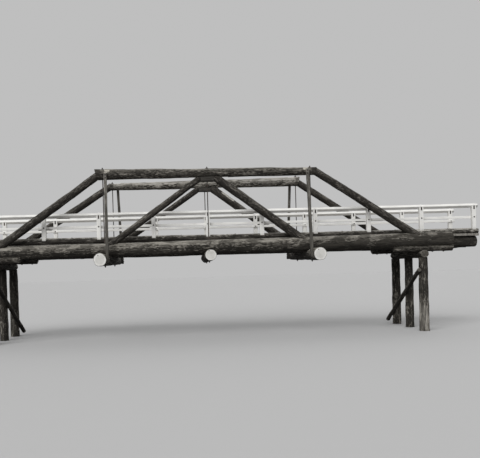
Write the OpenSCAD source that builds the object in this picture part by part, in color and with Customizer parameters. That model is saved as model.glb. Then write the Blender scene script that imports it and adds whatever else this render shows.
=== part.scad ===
// Log truss footbridge: two round-log trusses carry a plank deck hung on cross girders.
// X runs along the bridge, Y across it (the near truss is at -Y), Z is up from the pile feet.

/* [Span] */
// Spacing of the cross girders and tie rods
panel = 3660; // [3400:10:3900]
// Distance from midspan to the centre of each pier
pier_x = 7660; // [7600:10:7900]
// Distance between the centre lines of the two trusses
truss_gap = 3000; // [2900:10:3300]
// Length of the approach beyond each pier
approach = 2240; // [1600:10:2600]

/* [Lower chord] */
// Height of the underside of the lower chords above the pile feet
chord_under = 2966; // [2800:2:3200]
// Diameter of a lower chord at its thin end
chord_d_tip = 430; // [400:5:450]
// Diameter of a lower chord at its butt
chord_d_butt = 564; // [540:2:600]
// Length of lower chord beyond the pier centre
chord_past = 1040; // [950:10:1300]
// How much higher the far lower chord's underside is
far_lift = 30; // [0:2:34]

/* [Top chord] */
// Height from the lower chord's underside to the top chord's underside
truss_rise = 2702; // [2500:2:2900]
// Half the length of the near top chord's underside
kink_x = 3820; // [3800:5:4000]
// Half the length of the far top chord's underside
far_kink_x = 3720; // [3710:5:3900]
// Diameter of a top chord at its thin end
top_d_tip = 276; // [260:2:300]
// Diameter of a top chord at its butt
top_d_butt = 374; // [340:2:390]

/* [Struts] */
// Diameter of an outer strut at the top
outer_d_top = 262; // [240:2:280]
// Diameter of an outer strut at the foot
outer_d_foot = 292; // [270:2:310]
// How far short of the pier's centre the underside of an outer strut meets the lower chord
outer_short = 610; // [570:10:700]
// Diameter of a right inner strut at the top
right_inner_d_top = 284; // [260:2:300]
// Diameter of a right inner strut at the foot
right_inner_d_foot = 304; // [280:2:320]
// Where the underside of a right inner strut meets the lower chord
right_inner_foot_x = 2975; // [2900:5:2990]
// Diameter of a left inner strut at the top
left_inner_d_top = 216; // [200:2:260]
// Diameter of a left inner strut at the foot
left_inner_d_foot = 230; // [210:2:270]
// Where the underside of a left inner strut meets the lower chord
left_inner_foot_x = 3190; // [3000:5:3210]
// Depth of the notch that a strut's toe thrusts against
step_depth = 90; // [60:5:110]
// Length of the straining block under each top chord
block_len = 464; // [400:4:520]
// Depth of the straining block below the top chord
block_depth = 140; // [110:5:170]
// Width of the straining block
block_wide = 230; // [200:5:250]
// Depth of the heel cut behind a strut's toe
heel_depth = 22; // [15:1:30]
// Depth that a top chord is flattened under for the block and the inner struts
head_flat = 18; // [12:1:24]

/* [Cross girders] */
// Length of a cross girder
girder_len = 5840; // [5700:10:6000]
// Diameter of a girder's butt
girder_d_butt = 440; // [420:5:450]
// Diameter of a girder's thin end
girder_d_tip = 336; // [320:2:360]
// Diameter of the middle girder, which hardly tapers
girder_d_mid = 376; // [360:2:400]
// Height of a girder's top line above the lower chord's underside
girder_rise = 102; // [80:2:112]
// How much higher the middle girder is let in
middle_lift = 28; // [0:2:40]
// Depth that a lower chord is checked down over each girder
chord_check = 36; // [25:1:45]

/* [Rods and stays] */
// Diameter of the iron tie rods
rod_d = 34; // [28:1:40]
// Clearance round a rod in its hole
rod_clear = 3; // [2:0.5:5]
// Side of the square iron plates under the nuts
plate_w = 130; // [110:5:150]
// Thickness of the iron plates
plate_t = 12; // [10:1:16]
// Width and depth of the outrigger stays
stay_w = 100; // [80:5:110]
// Distance from a stay's foot to the girder's end
stay_past = 290; // [230:10:400]
// Depth of a stay's foot below the girder's top line
stay_drop = 310; // [280:5:340]
// Height of a stay's head above the top chord's underside
stay_head = 220; // [180:5:260]
// Depth of the flat that is cut in a girder's near end for a stay
flank_cut = 50; // [30:1:60]
// Depth of the flat that is cut in a girder's far end for a stay
far_flank_cut = 20; // [14:1:40]
// How much farther from midspan a near stay's head is than its foot
stay_lean = 100; // [0:5:110]
// How much farther from midspan a far stay's head is than its foot
far_stay_lean = 10; // [0:5:110]
// Depth of the flat that is cut in a top chord's side for a stay
stay_lap = 22; // [14:1:30]
// Depth that the logs are flattened under the iron plates
plate_flat = 16; // [10:1:20]

/* [Pier] */
// Diameter of the piles
pile_d = 330; // [310:5:350]
// Diameter of the headstock log
cap_d = 284; // [270:2:310]
// How far the headstock log passes the outer piles' centre lines
cap_past = 190; // [180:5:300]
// Length of a corbel log under the near truss
corbel_len = 2180; // [2000:10:2240]
// Length of a corbel log under the far truss
far_corbel_len = 1960; // [1860:10:2200]
// Diameter of a corbel log
corbel_d = 270; // [260:2:290]
// Length of the bevel under each end of a corbel
corbel_bevel = 40; // [20:5:90]
// Depth that a corbel is flattened on top
corbel_flat = 36; // [26:1:46]
// Depth that the lower chord is trimmed over the corbel
chord_trim = 104; // [80:2:116]
// Height of the corbel's top above its seat on the headstock
corbel_rise = 212; // [200:2:220]
// Depth that the headstock is cut down under each corbel
cap_check = 40; // [30:1:50]
// Depth that the headstock is flattened over each pile
pile_check = 22; // [15:1:30]
// Diameter of the sway brace
brace_d = 160; // [140:5:180]
// Height of the sway brace's upper end above the pile feet
brace_high_z = 2190; // [1900:10:2250]
// Height of the sway brace's lower end above the pile feet
brace_low_z = 160; // [110:10:400]
// How far the sway brace's upper end passes the near pile's centre line
brace_past_near = 190; // [120:10:250]
// How far the sway brace's lower end passes the far pile's centre line
brace_past_far = 480; // [250:10:600]
// Depth that the brace is let into the piles
brace_let = 10; // [5:1:20]
// Depth of the flat on the brace where it crosses the piles
brace_flat = 8; // [4:1:16]

/* [Deck] */
// Height of the planks' underside above the lower chord's underside
deck_rise = 412; // [396:1:430]
// Thickness of the deck planks
plank_t = 90; // [70:5:100]
// Width of the planked deck
deck_wide = 2300; // [2200:10:2340]
// Width of the sawn bearer that carries the stringers' ends on each headstock
bearer_w = 230; // [200:5:260]
// Diameter of the deck stringers
stringer_d = 412; // [390:2:430]
// Distance from the deck's centre line to the outer stringers
stringer_y = 790; // [700:10:850]
// Depth that the stringers' tops are adzed flat
adzed = 10; // [6:1:20]
// Depth of the check that a stringer makes in a girder
stringer_check = 26; // [18:1:34]

/* [Railing] */
// Spacing of the railing posts
bay = 1950; // [1850:10:1960]
// Distance from the deck's centre line to each railing
rail_y = 1040; // [980:5:1050]
// Width of the square posts
post_w = 146; // [120:2:160]
// Height of the top rail's centre above the planks
rail_rise = 1013; // [950:1:1150]
// Side of the square top rail, which is set on edge
rail_w = 115; // [100:1:120]
// Height of the middle rail's centre above the planks
mid_rise = 598; // [500:1:700]
// Depth of the middle rail
mid_h = 94; // [80:2:130]
// Thickness of the middle rail
mid_t = 46; // [38:1:60]
// Diameter of a kerb log at its butt
kerb_d_butt = 248; // [210:2:260]
// Diameter of a kerb log at its thin end
kerb_d_tip = 200; // [180:2:208]
// Depth that the kerb logs are flattened underneath
kerb_flat = 7; // [4:1:12]
// Depth that the kerb's thin end is notched for a post
post_check = 60; // [40:2:70]

/* [Hidden] */

NEAR = -1;
FAR = 1;
LEFT = -1;
RIGHT = 1;
round_fn = 40;
bark = "#4a443c";
bark_dark = "#3a352f";
timber = "#8c877c";
plank = "#9a948a";
iron = "#2c2a28";
white_paint = "#e9e6de";
big = 1200;
joint_gap = 0.4;
stations = 9;
wave_share = 0.016;
// Bare room left round a piece that is let into another
seat_room = 10;
// Extra length of a log that is then cut to its joint
overrun = 420;

truss_y = truss_gap / 2;
top_under = chord_under + truss_rise;
top_seat = top_under + head_flat;
chord_half = pier_x + chord_past;
outer_foot_x = pier_x - outer_short;
girder_top = chord_under + girder_rise;
girder_seat = chord_under + chord_check;
stringer_seat = girder_top - stringer_check;
corbel_top = chord_under + chord_trim;
corbel_seat = corbel_top - corbel_rise;
cap_z = corbel_seat + cap_check - cap_d / 2;
cap_half = truss_y + cap_past;
pile_top = cap_z - cap_d / 2 + pile_check;
deck_under = chord_under + deck_rise;
deck_top = deck_under + plank_t;
deck_half = pier_x + approach;
post_foot = deck_top + kerb_d_tip - post_check;
rail_z = deck_top + rail_rise;
rail_half = rail_w / sqrt(2);
mid_z = deck_top + mid_rise;
mid_y = rail_y - post_w / 2 - mid_t / 2;
stringer_r = stringer_d / 2;
stringer_z = deck_under + adzed - stringer_r;
post_count = floor((deck_half - post_w) / bay);
stay_run = girder_len / 2 - truss_y - stay_past;

// Radius of a log a share t along it, with a slight swell that differs from log to log
function log_r(r0, r1, t, seed) =
  r0 + (r1 - r0) * t + wave_share * r0 * (sin(seed * 67 + t * 610) + 0.7 * sin(seed * 131 + t * 1430));

function lerp(a, b, t) = a + (b - a) * t;

// The near chord has its butt at the right and the far chord at the left
function chord_r(side, x) =
  lerp(chord_d_tip, chord_d_butt, 0.5 - side * x / (2 * chord_half)) / 2;
function chord_low(side) = chord_under + (side == FAR ? far_lift : 0);
function chord_top(side, x) = chord_low(side) + 2 * chord_r(side, x);

// The near top chord has its butt at the left and the far one at the right
function kink(side) = side == NEAR ? kink_x : far_kink_x;
function top_r(side, x) = lerp(top_d_tip, top_d_butt, 0.5 + side * x / (2 * kink(side))) / 2;

// The outer girders have their butts at the near side, and the middle one is even
function girder_r(place, y) =
  place == 0 ? girder_d_mid / 2 : lerp(girder_d_butt, girder_d_tip, 0.5 + y / girder_len) / 2;
function girder_line(place) = girder_top + (place == 0 ? middle_lift : 0);

// The near kerb has its butt at the left and the far kerb at the right
function kerb_r(side, x) = lerp(kerb_d_tip, kerb_d_butt, 0.5 + side * x / (2 * deck_half)) / 2;

// A turned log that runs from one point to another
module log_between(p0, p1, r0, r1, seed) {
  v = p1 - p0;
  reach = norm(v);
  translate(p0)
    rotate([0, acos(v.z / reach), atan2(v.y, v.x)])
      rotate_extrude($fn = round_fn)
        polygon(concat(
          [[0, 0]],
          [for (i = [0 : stations]) [log_r(r0, r1, i / stations, seed), reach * i / stations]],
          [[0, reach]]));
}

// A side outline, given as points in X and Z, carried across Y about a centre line
module side_prism(points, y, wide) {
  translate([0, y + wide / 2, 0])
    rotate([90, 0, 0])
      linear_extrude(height = wide)
        polygon(points);
}

// A box given by its low corner and its high corner
module box(low, high) {
  translate(low) cube(high - low);
}

// The places along the bridge of the three girders and of the rods
function panel_x(place) = place * panel;

module rod_holes(side) {
  for (place = [-1 : 1])
    translate([panel_x(place), side * truss_y, chord_under - big])
      cylinder(d = rod_d + 2 * rod_clear, h = truss_rise + 3 * big, $fn = 24);
}

// Geometry of a strut seen from the side, right half: the underside runs from a to b
function strut_angle(a, b) = atan2(a.y - b.y, b.x - a.x);
function strut_toe(b, angle, d) = [b.x + d / sin(angle), b.y];
function strut_step(b, angle, d) = strut_toe(b, angle, d) - step_depth * [tan(angle), 1];
function strut_heel(b, angle) = b + heel_depth * [1 / tan(angle), -1];

// Outline of the notch in the lower chord that takes a strut's foot
function foot_notch(a, b, d) =
  let (angle = strut_angle(a, b),
       step = strut_step(b, angle, d),
       heel = strut_heel(b, angle),
       back = heel + seat_room * (heel - step) / norm(heel - step))
  [step, step + big * [sin(angle), cos(angle)], back + big * [-cos(angle), sin(angle)], back];

// The underside line of the outer strut: from the top chord's kink to the lower chord
function outer_a(side, end) = [kink(side), top_under];
function outer_b(side, end) = [outer_foot_x, chord_top(side, end * outer_foot_x)];
function inner_d_top(end) = end == LEFT ? left_inner_d_top : right_inner_d_top;
function inner_d_foot(end) = end == LEFT ? left_inner_d_foot : right_inner_d_foot;
function inner_foot_x(end) = end == LEFT ? left_inner_foot_x : right_inner_foot_x;
function inner_a(side, end) = [block_len / 2, top_under - block_depth];
function inner_b(side, end) = [inner_foot_x(end), chord_top(side, end * inner_foot_x(end))];

// Lower chord: notched for four struts, checked over the girders and trimmed over the corbels
module lower_chord(side) {
  r_left = chord_r(side, -chord_half);
  r_right = chord_r(side, chord_half);
  y = side * truss_y;
  color(bark)
  difference() {
    log_between([-chord_half, y, chord_low(side) + r_left], [chord_half, y, chord_low(side) + r_right],
      r_left, r_right, 3 + side);
    for (end = [LEFT, RIGHT])
      mirror([end == LEFT ? 1 : 0, 0, 0]) {
        side_prism(foot_notch(outer_a(side, end), outer_b(side, end), outer_d_foot), y, big);
        side_prism(foot_notch(inner_a(side, end), inner_b(side, end), inner_d_foot(end)), y, big);
        box([pier_x - corbel_half(side) - 2 * seat_room, y - big / 2, 0],
          [chord_half + big, y + big / 2, corbel_top]);
      }
    for (place = [-1 : 1])
      box([panel_x(place) - girder_bed / 2, y - big / 2, 0],
        [panel_x(place) + girder_bed / 2, y + big / 2, girder_seat]);
    rod_holes(side);
  }
}
// Width of a girder where it is let into the lower chords, with room at both sides
girder_bed = 2 * sqrt(pow(girder_d_butt / 2, 2) - pow(girder_d_butt / 2 - girder_rise, 2)) + 3 * seat_room;

// Top chord: mitred to the outer struts, flattened under for the block and inner struts
module top_chord(side) {
  half = kink(side) + overrun;
  r_left = top_r(side, -kink(side));
  r_right = top_r(side, kink(side));
  y = side * truss_y;
  color(bark)
  difference() {
    log_between([-half, y, top_under + r_left], [half, y, top_under + r_right],
      r_left, r_right, 7 + side);
    for (end = [LEFT, RIGHT])
      mirror([end == LEFT ? 1 : 0, 0, 0]) {
        angle = strut_angle(outer_a(side, end), outer_b(side, end));
        lean = [sin(angle / 2), cos(angle / 2)];
        side_prism([outer_a(side, end) - big * lean, outer_a(side, end) - big * lean + [big, 0],
          outer_a(side, end) + big * lean + [big, 0], outer_a(side, end) + big * lean], y, big);
      }
    box([-head_half(side, LEFT), y - big / 2, top_under - big],
      [head_half(side, RIGHT), y + big / 2, top_seat]);
    for (place = [-1 : 1])
      box([panel_x(place) - plate_w / 2 - seat_room, y - big / 2, top_plate_z(side, place)],
        [panel_x(place) + plate_w / 2 + seat_room, y + big / 2, top_under + big]);
    for (end = [LEFT, RIGHT])
      stay_bed(side, end);
    rod_holes(side);
  }
}
// Length of the flat under the top chord, over the block and the head of an inner strut
function head_half(side, end) = block_len / 2 + 4 * seat_room
  + inner_d_top(end) / sin(strut_angle(inner_a(side, end), inner_b(side, end)));
function top_plate_z(side, place) = top_under + 2 * top_r(side, panel_x(place)) - plate_flat;

// Outer strut: mitred under the top chord's end and stepped into the lower chord
module outer_strut(side, end) {
  a = outer_a(side, end);
  b = outer_b(side, end);
  angle = strut_angle(a, b);
  up = [sin(angle), cos(angle)];
  down = [cos(angle), -sin(angle)];
  lean = [sin(angle / 2), cos(angle / 2)];
  step = strut_step(b, angle, outer_d_foot);
  heel = strut_heel(b, angle);
  far_back = heel + big * (heel - step) / norm(heel - step);
  start = a - overrun * down + outer_d_top / 2 * up;
  finish = b + overrun * down + outer_d_foot / 2 * up;
  y = side * truss_y;
  color(bark_dark)
  mirror([end == LEFT ? 1 : 0, 0, 0])
  intersection() {
    log_between([start.x, y, start.y], [finish.x, y, finish.y],
      outer_d_top / 2, outer_d_foot / 2, 11 + side + 3 * end);
    side_prism([a - big * lean, a + big * lean, step + big * up, step, far_back], y, big);
  }
}

// Inner strut: cut level under the top chord, square to the block and stepped at the foot
module inner_strut(side, end) {
  a = inner_a(side, end);
  b = inner_b(side, end);
  angle = strut_angle(a, b);
  up = [sin(angle), cos(angle)];
  down = [cos(angle), -sin(angle)];
  step = strut_step(b, angle, inner_d_foot(end));
  heel = strut_heel(b, angle);
  far_back = heel + big * (heel - step) / norm(heel - step);
  start = a - overrun * down + inner_d_top(end) / 2 * up;
  finish = b + overrun * down + inner_d_foot(end) / 2 * up;
  y = side * truss_y;
  color(bark_dark)
  mirror([end == LEFT ? 1 : 0, 0, 0])
  intersection() {
    log_between([start.x, y, start.y], [finish.x, y, finish.y],
      inner_d_top(end) / 2, inner_d_foot(end) / 2, 23 + side + 3 * end);
    side_prism([[a.x, a.y - big], [a.x, top_seat], [a.x + big, top_seat],
      step + big * up, step, far_back], y, big);
  }
}

// Straining blocks that keep the heads of the inner struts apart
module straining_blocks() {
  low = top_under - block_depth;
  trim = 24;
  color(timber)
  difference() {
    for (side = [NEAR, FAR])
      translate([-block_len / 2, side * truss_y, 0])
        rotate([90, 0, 90])
          linear_extrude(height = block_len)
            polygon([[-block_wide / 2, low + trim], [-block_wide / 2 + trim, low],
              [block_wide / 2 - trim, low], [block_wide / 2, low + trim],
              [block_wide / 2, top_seat], [-block_wide / 2, top_seat]]);
    for (side = [NEAR, FAR])
      rod_holes(side);
  }
}

// Cross girder: a log slung under both lower chords, checked down where they bear on it
module cross_girder(place) {
  half = girder_len / 2;
  r_near = girder_r(place, -half);
  r_far = girder_r(place, half);
  x = panel_x(place);
  color(bark)
  difference() {
    log_between([x, -half, girder_line(place) - r_near], [x, half, girder_line(place) - r_far],
      r_near, r_far, 31 + place);
    for (side = [NEAR, FAR]) {
      box([x - big / 2, side * truss_y - chord_bed / 2, girder_seat],
        [x + big / 2, side * truss_y + chord_bed / 2, girder_top + big]);
      box([x - plate_w / 2 - seat_room, side * truss_y - plate_w / 2 - seat_room, 0],
        [x + plate_w / 2 + seat_room, side * truss_y + plate_w / 2 + seat_room, low_plate_z(side, place)]);
    }
    for (lane = [-1 : 1])
      box([x - big / 2, lane * stringer_y - stringer_bed / 2, stringer_seat],
        [x + big / 2, lane * stringer_y + stringer_bed / 2, girder_top + big]);
    if (place != 0)
      for (side = [NEAR, FAR])
        stay_flank(side, place);
    for (side = [NEAR, FAR])
      rod_holes(side);
  }
}
chord_bed = 420;
stringer_bed = 260;
function low_plate_z(side, place) =
  girder_line(place) - 2 * girder_r(place, side * truss_y) + plate_flat;

// Tie rods with a nut at each end
module tie_rods() {
  color(iron)
  for (side = [NEAR, FAR], place = [-1 : 1]) {
    low = low_plate_z(side, place) - plate_t;
    high = top_plate_z(side, place) + plate_t;
    translate([panel_x(place), side * truss_y, 0]) {
      translate([0, 0, low - nut_h - rod_past])
        cylinder(d = rod_d, h = high - low + 2 * nut_h + 2 * rod_past, $fn = 24);
      for (z = [low - nut_h, high])
        translate([0, 0, z])
          cylinder(d = nut_d, h = nut_h, $fn = 6);
    }
  }
}
nut_d = 66;
nut_h = 30;
rod_past = 30;

// Iron plates that spread the load of the nuts into the logs
module rod_plates() {
  color(iron)
  for (side = [NEAR, FAR], place = [-1 : 1])
    for (z = [low_plate_z(side, place) - plate_t, top_plate_z(side, place)])
      translate([panel_x(place), side * truss_y, z])
        difference() {
          translate([-plate_w / 2, -plate_w / 2, 0])
            cube([plate_w, plate_w, plate_t]);
          translate([0, 0, -plate_t])
            cylinder(d = rod_d + 2 * rod_clear, h = 3 * plate_t, $fn = 24);
        }
}

// Outrigger stays rake from the girders' ends up to the top chords' outer sides
stay_foot_z = girder_top - stay_drop;
stay_head_z = top_under + stay_head;
function stay_head_out(side, end) = top_r(side, end * panel) - stay_lap + stay_w / 2;
function stay_rake(side, end) =
  atan2(stay_run - stay_head_out(side, end), stay_head_z - stay_foot_z);
function lean_of(side) = side == NEAR ? stay_lean : far_stay_lean;
function flank_of(side) = side == NEAR ? flank_cut : far_flank_cut;
function stay_head_x(side, end) = lean_of(side)
  + panel - girder_r(end, side * (truss_y + stay_run)) + flank_of(side) - stay_w / 2;
function stay_turn(side) = atan2(lean_of(side), stay_head_z - stay_foot_z);

// The frame of a stay: local Z climbs along it, and local Y points out from the truss
module stay_frame(side, end) {
  mirror([end == LEFT ? 1 : 0, 0, 0])
    mirror([0, side == NEAR ? 1 : 0, 0])
      translate([stay_head_x(side, end), truss_y + stay_head_out(side, end), stay_head_z])
        rotate([stay_rake(side, end), stay_turn(side), 0])
          children();
}

module outrigger_stay(side, end) {
  slant = (stay_head_z - stay_foot_z) / cos(stay_rake(side, end));
  color(timber)
  intersection() {
    stay_frame(side, end)
      translate([-stay_w / 2, -stay_w / 2, -slant - big])
        cube([stay_w, stay_w, slant + 2 * big]);
    box([-2 * panel, -girder_len, stay_foot_z], [2 * panel, girder_len, stay_head_z]);
  }
}

// The flat on the top chord's side that takes a stay's head
module stay_bed(side, end) {
  stay_frame(side, end)
    translate([-stay_w / 2 - stay_room, -stay_w / 2, -big])
      cube([stay_w + 2 * stay_room, big, 2 * big]);
}

stay_room = 3;

// The flat on a girder's inner flank that takes a stay's foot
module stay_flank(side, end) {
  y = side * (truss_y + stay_run);
  intersection() {
    stay_frame(side, end)
      translate([-big, -big, -4 * big])
        cube([big + stay_w / 2, 2 * big, 4 * big]);
    box([-2 * panel, y - flank_half, 0], [2 * panel, y + flank_half, girder_top + big]);
  }
}

flank_half = 190;

// Three piles under each headstock, flared a little at the foot
module piles(end) {
  color(bark)
  for (lane = [-1 : 1])
    difference() {
      log_between([end * pier_x, lane * truss_y, 0], [end * pier_x, lane * truss_y, pile_top + seat_room],
        pile_r(lane) * (1 + pile_flare), pile_r(lane) * (1 - pile_taper), 41 + lane + 4 * end);
      box([end * pier_x - big / 2, lane * truss_y - big / 2, pile_top],
        [end * pier_x + big / 2, lane * truss_y + big / 2, pile_top + big]);
      mirror([end == LEFT ? 1 : 0, 0, 0])
        box([pier_x - big, lane * truss_y - brace_bed, brace_z(lane * truss_y) - brace_bed],
          [brace_face, lane * truss_y + brace_bed, brace_z(lane * truss_y) + brace_bed]);
    }
}
middle_pile_share = 0.93;
pile_flare = 0.06;
pile_taper = 0.03;
function pile_r(lane) = pile_d / 2 * (lane == 0 ? middle_pile_share : 1);
brace_bed = 190;
brace_face = pier_x - pile_r(0) + brace_let;

// Headstock: a log along the pile tops, flattened over the piles and under the corbels
module headstock(end) {
  color(bark)
  difference() {
    log_between([end * pier_x, -cap_half, cap_z], [end * pier_x, cap_half, cap_z],
      cap_d / 2, cap_d / 2, 53 + end);
    for (lane = [-1 : 1])
      box([end * pier_x - big / 2, lane * truss_y - pile_bed / 2, 0],
        [end * pier_x + big / 2, lane * truss_y + pile_bed / 2, pile_top]);
    for (side = [NEAR, FAR])
      box([end * pier_x - big / 2, side * truss_y - corbel_bed / 2, corbel_seat],
        [end * pier_x + big / 2, side * truss_y + corbel_bed / 2, corbel_seat + big]);
    box([end * pier_x - big / 2, -bearer_half - seat_room, bearer_low],
      [end * pier_x + big / 2, bearer_half + seat_room, corbel_seat + big]);
  }
}
pile_bed = pile_d + 3 * seat_room;
corbel_bed = corbel_d;
bearer_check = 24;
bearer_low = cap_z + cap_d / 2 - bearer_check;
bearer_half = stringer_y + stringer_r;

// Bearers: sawn timbers on the headstocks that carry the ends of the stringers
module deck_bearers() {
  color(timber)
  for (end = [LEFT, RIGHT])
    box([end * pier_x - bearer_w / 2, -bearer_half, bearer_low],
      [end * pier_x + bearer_w / 2, bearer_half, stringer_seat]);
}

// Corbel: a short log over each headstock that spreads the lower chord's load
module corbel(side, end) {
  y = side * truss_y;
  r = corbel_d / 2;
  z = corbel_top + corbel_flat - r;
  half = corbel_half(side);
  slope = [corbel_bevel, r];
  color(bark_dark)
  mirror([end == LEFT ? 1 : 0, 0, 0])
  difference() {
    log_between([pier_x - half, y, z], [pier_x + half, y, z], r, r * corbel_taper, 61 + side + 3 * end);
    box([pier_x - big, y - big / 2, corbel_top], [pier_x + big, y + big / 2, corbel_top + big]);
    box([pier_x - cap_bed / 2, y - big / 2, 0], [pier_x + cap_bed / 2, y + big / 2, corbel_seat]);
    for (tip = [-1, 1])
      translate([pier_x + tip * half, y, z])
        mirror([tip < 0 ? 1 : 0, 0, 0])
          side_prism([-1.5 * slope, [slope.x, -1.5 * slope.y], slope], 0, big);
  }
}
corbel_taper = 0.96;
function corbel_half(side) = (side == NEAR ? corbel_len : far_corbel_len) / 2;
cap_bed = 2 * sqrt(pow(cap_d / 2, 2) - pow(cap_d / 2 - cap_check, 2)) + 3 * seat_room;

// Sway brace: a pole bolted across the river side of the three piles
function brace_z(y) = lerp(brace_high_z, brace_low_z,
  (y + truss_y + brace_past_near) / (2 * truss_y + brace_past_near + brace_past_far));
module sway_brace(end) {
  r = brace_d / 2;
  x = brace_face - r + brace_flat;
  low_y = truss_y + brace_past_far;
  high_y = -truss_y - brace_past_near;
  color(bark_dark)
  mirror([end == LEFT ? 1 : 0, 0, 0])
  difference() {
    log_between([x, high_y, brace_z(high_y)], [x, low_y, brace_z(low_y)], r * brace_taper, r, 71 + end);
    box([brace_face, high_y - big, 0], [brace_face + big, low_y + big, brace_high_z + big]);
  }
}

brace_taper = 0.94;

// A deck stringer: a log adzed flat on top and checked over what carries it
module stringer(x0, x1, y, seed, seats) {
  color(bark_dark)
  difference() {
    log_between([x0, y, stringer_z], [x1, y, stringer_z], stringer_r, stringer_r * stringer_taper, seed);
    box([x0 - big, y - big / 2, deck_under], [x1 + big, y + big / 2, deck_under + big]);
    for (seat = seats)
      box([seat.x - seat[2] / 2, y - big / 2, 0], [seat.x + seat[2] / 2, y + big / 2, seat.y]);
  }
}

stringer_taper = 0.97;

// The stringers are checked over the girders and over the bearers on the headstocks
module span_stringers() {
  for (lane = [-1 : 1], end = [LEFT, RIGHT])
    mirror([end == LEFT ? 1 : 0, 0, 0])
      stringer(joint_gap, pier_x - joint_gap, lane * stringer_y, 83 + lane + 5 * end,
        [[0, stringer_seat, girder_bed + 2 * seat_room], [panel, stringer_seat, girder_bed + 2 * seat_room],
         [pier_x, stringer_seat, bearer_w + 2 * seat_room]]);
}

module approach_stringers(end) {
  for (lane = [-1 : 1])
    mirror([end == LEFT ? 1 : 0, 0, 0])
      stringer(pier_x + joint_gap, deck_half, lane * stringer_y, 97 + lane + 5 * end,
        [[pier_x, stringer_seat, bearer_w + 2 * seat_room]]);
}

// Planked deck, in lengths that meet over the piers
module deck(x0, x1) {
  color(plank)
  box([x0, -deck_wide / 2, deck_under], [x1, deck_wide / 2, deck_top]);
}

// Kerb logs lie on the plank ends and carry the railing posts
module kerb(side) {
  r_left = kerb_r(side, -deck_half);
  r_right = kerb_r(side, deck_half);
  y = side * rail_y;
  low = deck_top - kerb_flat;
  color(bark)
  difference() {
    log_between([-deck_half, y, low + r_left], [deck_half, y, low + r_right], r_left, r_right, 107 + side);
    box([-deck_half - big, y - big / 2, 0], [deck_half + big, y + big / 2, deck_top]);
    for (i = [-post_count : post_count])
      box([i * bay - post_w / 2 - post_room, y - big / 2, post_foot],
        [i * bay + post_w / 2 + post_room, y + big / 2, post_foot + big]);
  }
}

post_room = 1;

// Railing posts, each notched in a vee for the top rail
module posts(side) {
  color(white_paint)
  for (i = [-post_count : post_count])
    translate([i * bay - post_w / 2, side * rail_y, 0])
      rotate([90, 0, 90])
        linear_extrude(height = post_w)
          polygon([[-post_w / 2, post_foot], [post_w / 2, post_foot],
            [post_w / 2, rail_z - rail_half + post_w / 2], [0, rail_z - rail_half],
            [-post_w / 2, rail_z - rail_half + post_w / 2]]);
}

// Top rail: a square timber set on edge in the posts' notches
module top_rail(side) {
  color(white_paint)
  translate([-deck_half, side * rail_y, rail_z])
    rotate([90, 0, 90])
      linear_extrude(height = 2 * deck_half)
        polygon([[-rail_half, 0], [0, -rail_half], [rail_half, 0], [0, rail_half]]);
}

// Middle rail: a board on the walkway side of the posts
module middle_rail(side) {
  color(white_paint)
  box([-deck_half, side * mid_y - mid_t / 2, mid_z - mid_h / 2],
    [deck_half, side * mid_y + mid_t / 2, mid_z + mid_h / 2]);
}

lower_chord(NEAR);  // near_lower_chord
lower_chord(FAR);  // far_lower_chord
top_chord(NEAR);  // near_top_chord
top_chord(FAR);  // far_top_chord
outer_strut(NEAR, LEFT);  // near_left_outer_strut
outer_strut(NEAR, RIGHT);  // near_right_outer_strut
outer_strut(FAR, LEFT);  // far_left_outer_strut
outer_strut(FAR, RIGHT);  // far_right_outer_strut
inner_strut(NEAR, LEFT);  // near_left_inner_strut
inner_strut(NEAR, RIGHT);  // near_right_inner_strut
inner_strut(FAR, LEFT);  // far_left_inner_strut
inner_strut(FAR, RIGHT);  // far_right_inner_strut
straining_blocks();
cross_girder(LEFT);  // left_cross_girder
cross_girder(0);  // middle_cross_girder
cross_girder(RIGHT);  // right_cross_girder
tie_rods();
rod_plates();
outrigger_stay(NEAR, LEFT);  // near_left_stay
outrigger_stay(NEAR, RIGHT);  // near_right_stay
outrigger_stay(FAR, LEFT);  // far_left_stay
outrigger_stay(FAR, RIGHT);  // far_right_stay
piles(LEFT);  // left_piles
piles(RIGHT);  // right_piles
headstock(LEFT);  // left_headstock
headstock(RIGHT);  // right_headstock
corbel(NEAR, LEFT);  // near_left_corbel
corbel(NEAR, RIGHT);  // near_right_corbel
corbel(FAR, LEFT);  // far_left_corbel
corbel(FAR, RIGHT);  // far_right_corbel
sway_brace(LEFT);  // left_sway_brace
sway_brace(RIGHT);  // right_sway_brace
deck_bearers();
span_stringers();
approach_stringers(LEFT);  // left_approach_stringers
approach_stringers(RIGHT);  // right_approach_stringers
deck(-pier_x + joint_gap, pier_x - joint_gap);  // span_deck
deck(-deck_half, -pier_x - joint_gap);  // left_approach_deck
deck(pier_x + joint_gap, deck_half);  // right_approach_deck
kerb(NEAR);  // near_kerb
kerb(FAR);  // far_kerb
posts(NEAR);  // near_posts
posts(FAR);  // far_posts
top_rail(NEAR);  // near_top_rail
top_rail(FAR);  // far_top_rail
middle_rail(NEAR);  // near_middle_rail
middle_rail(FAR);  // far_middle_rail
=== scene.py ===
import math
import bpy
import numpy as np
from mathutils import Matrix, Vector


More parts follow.
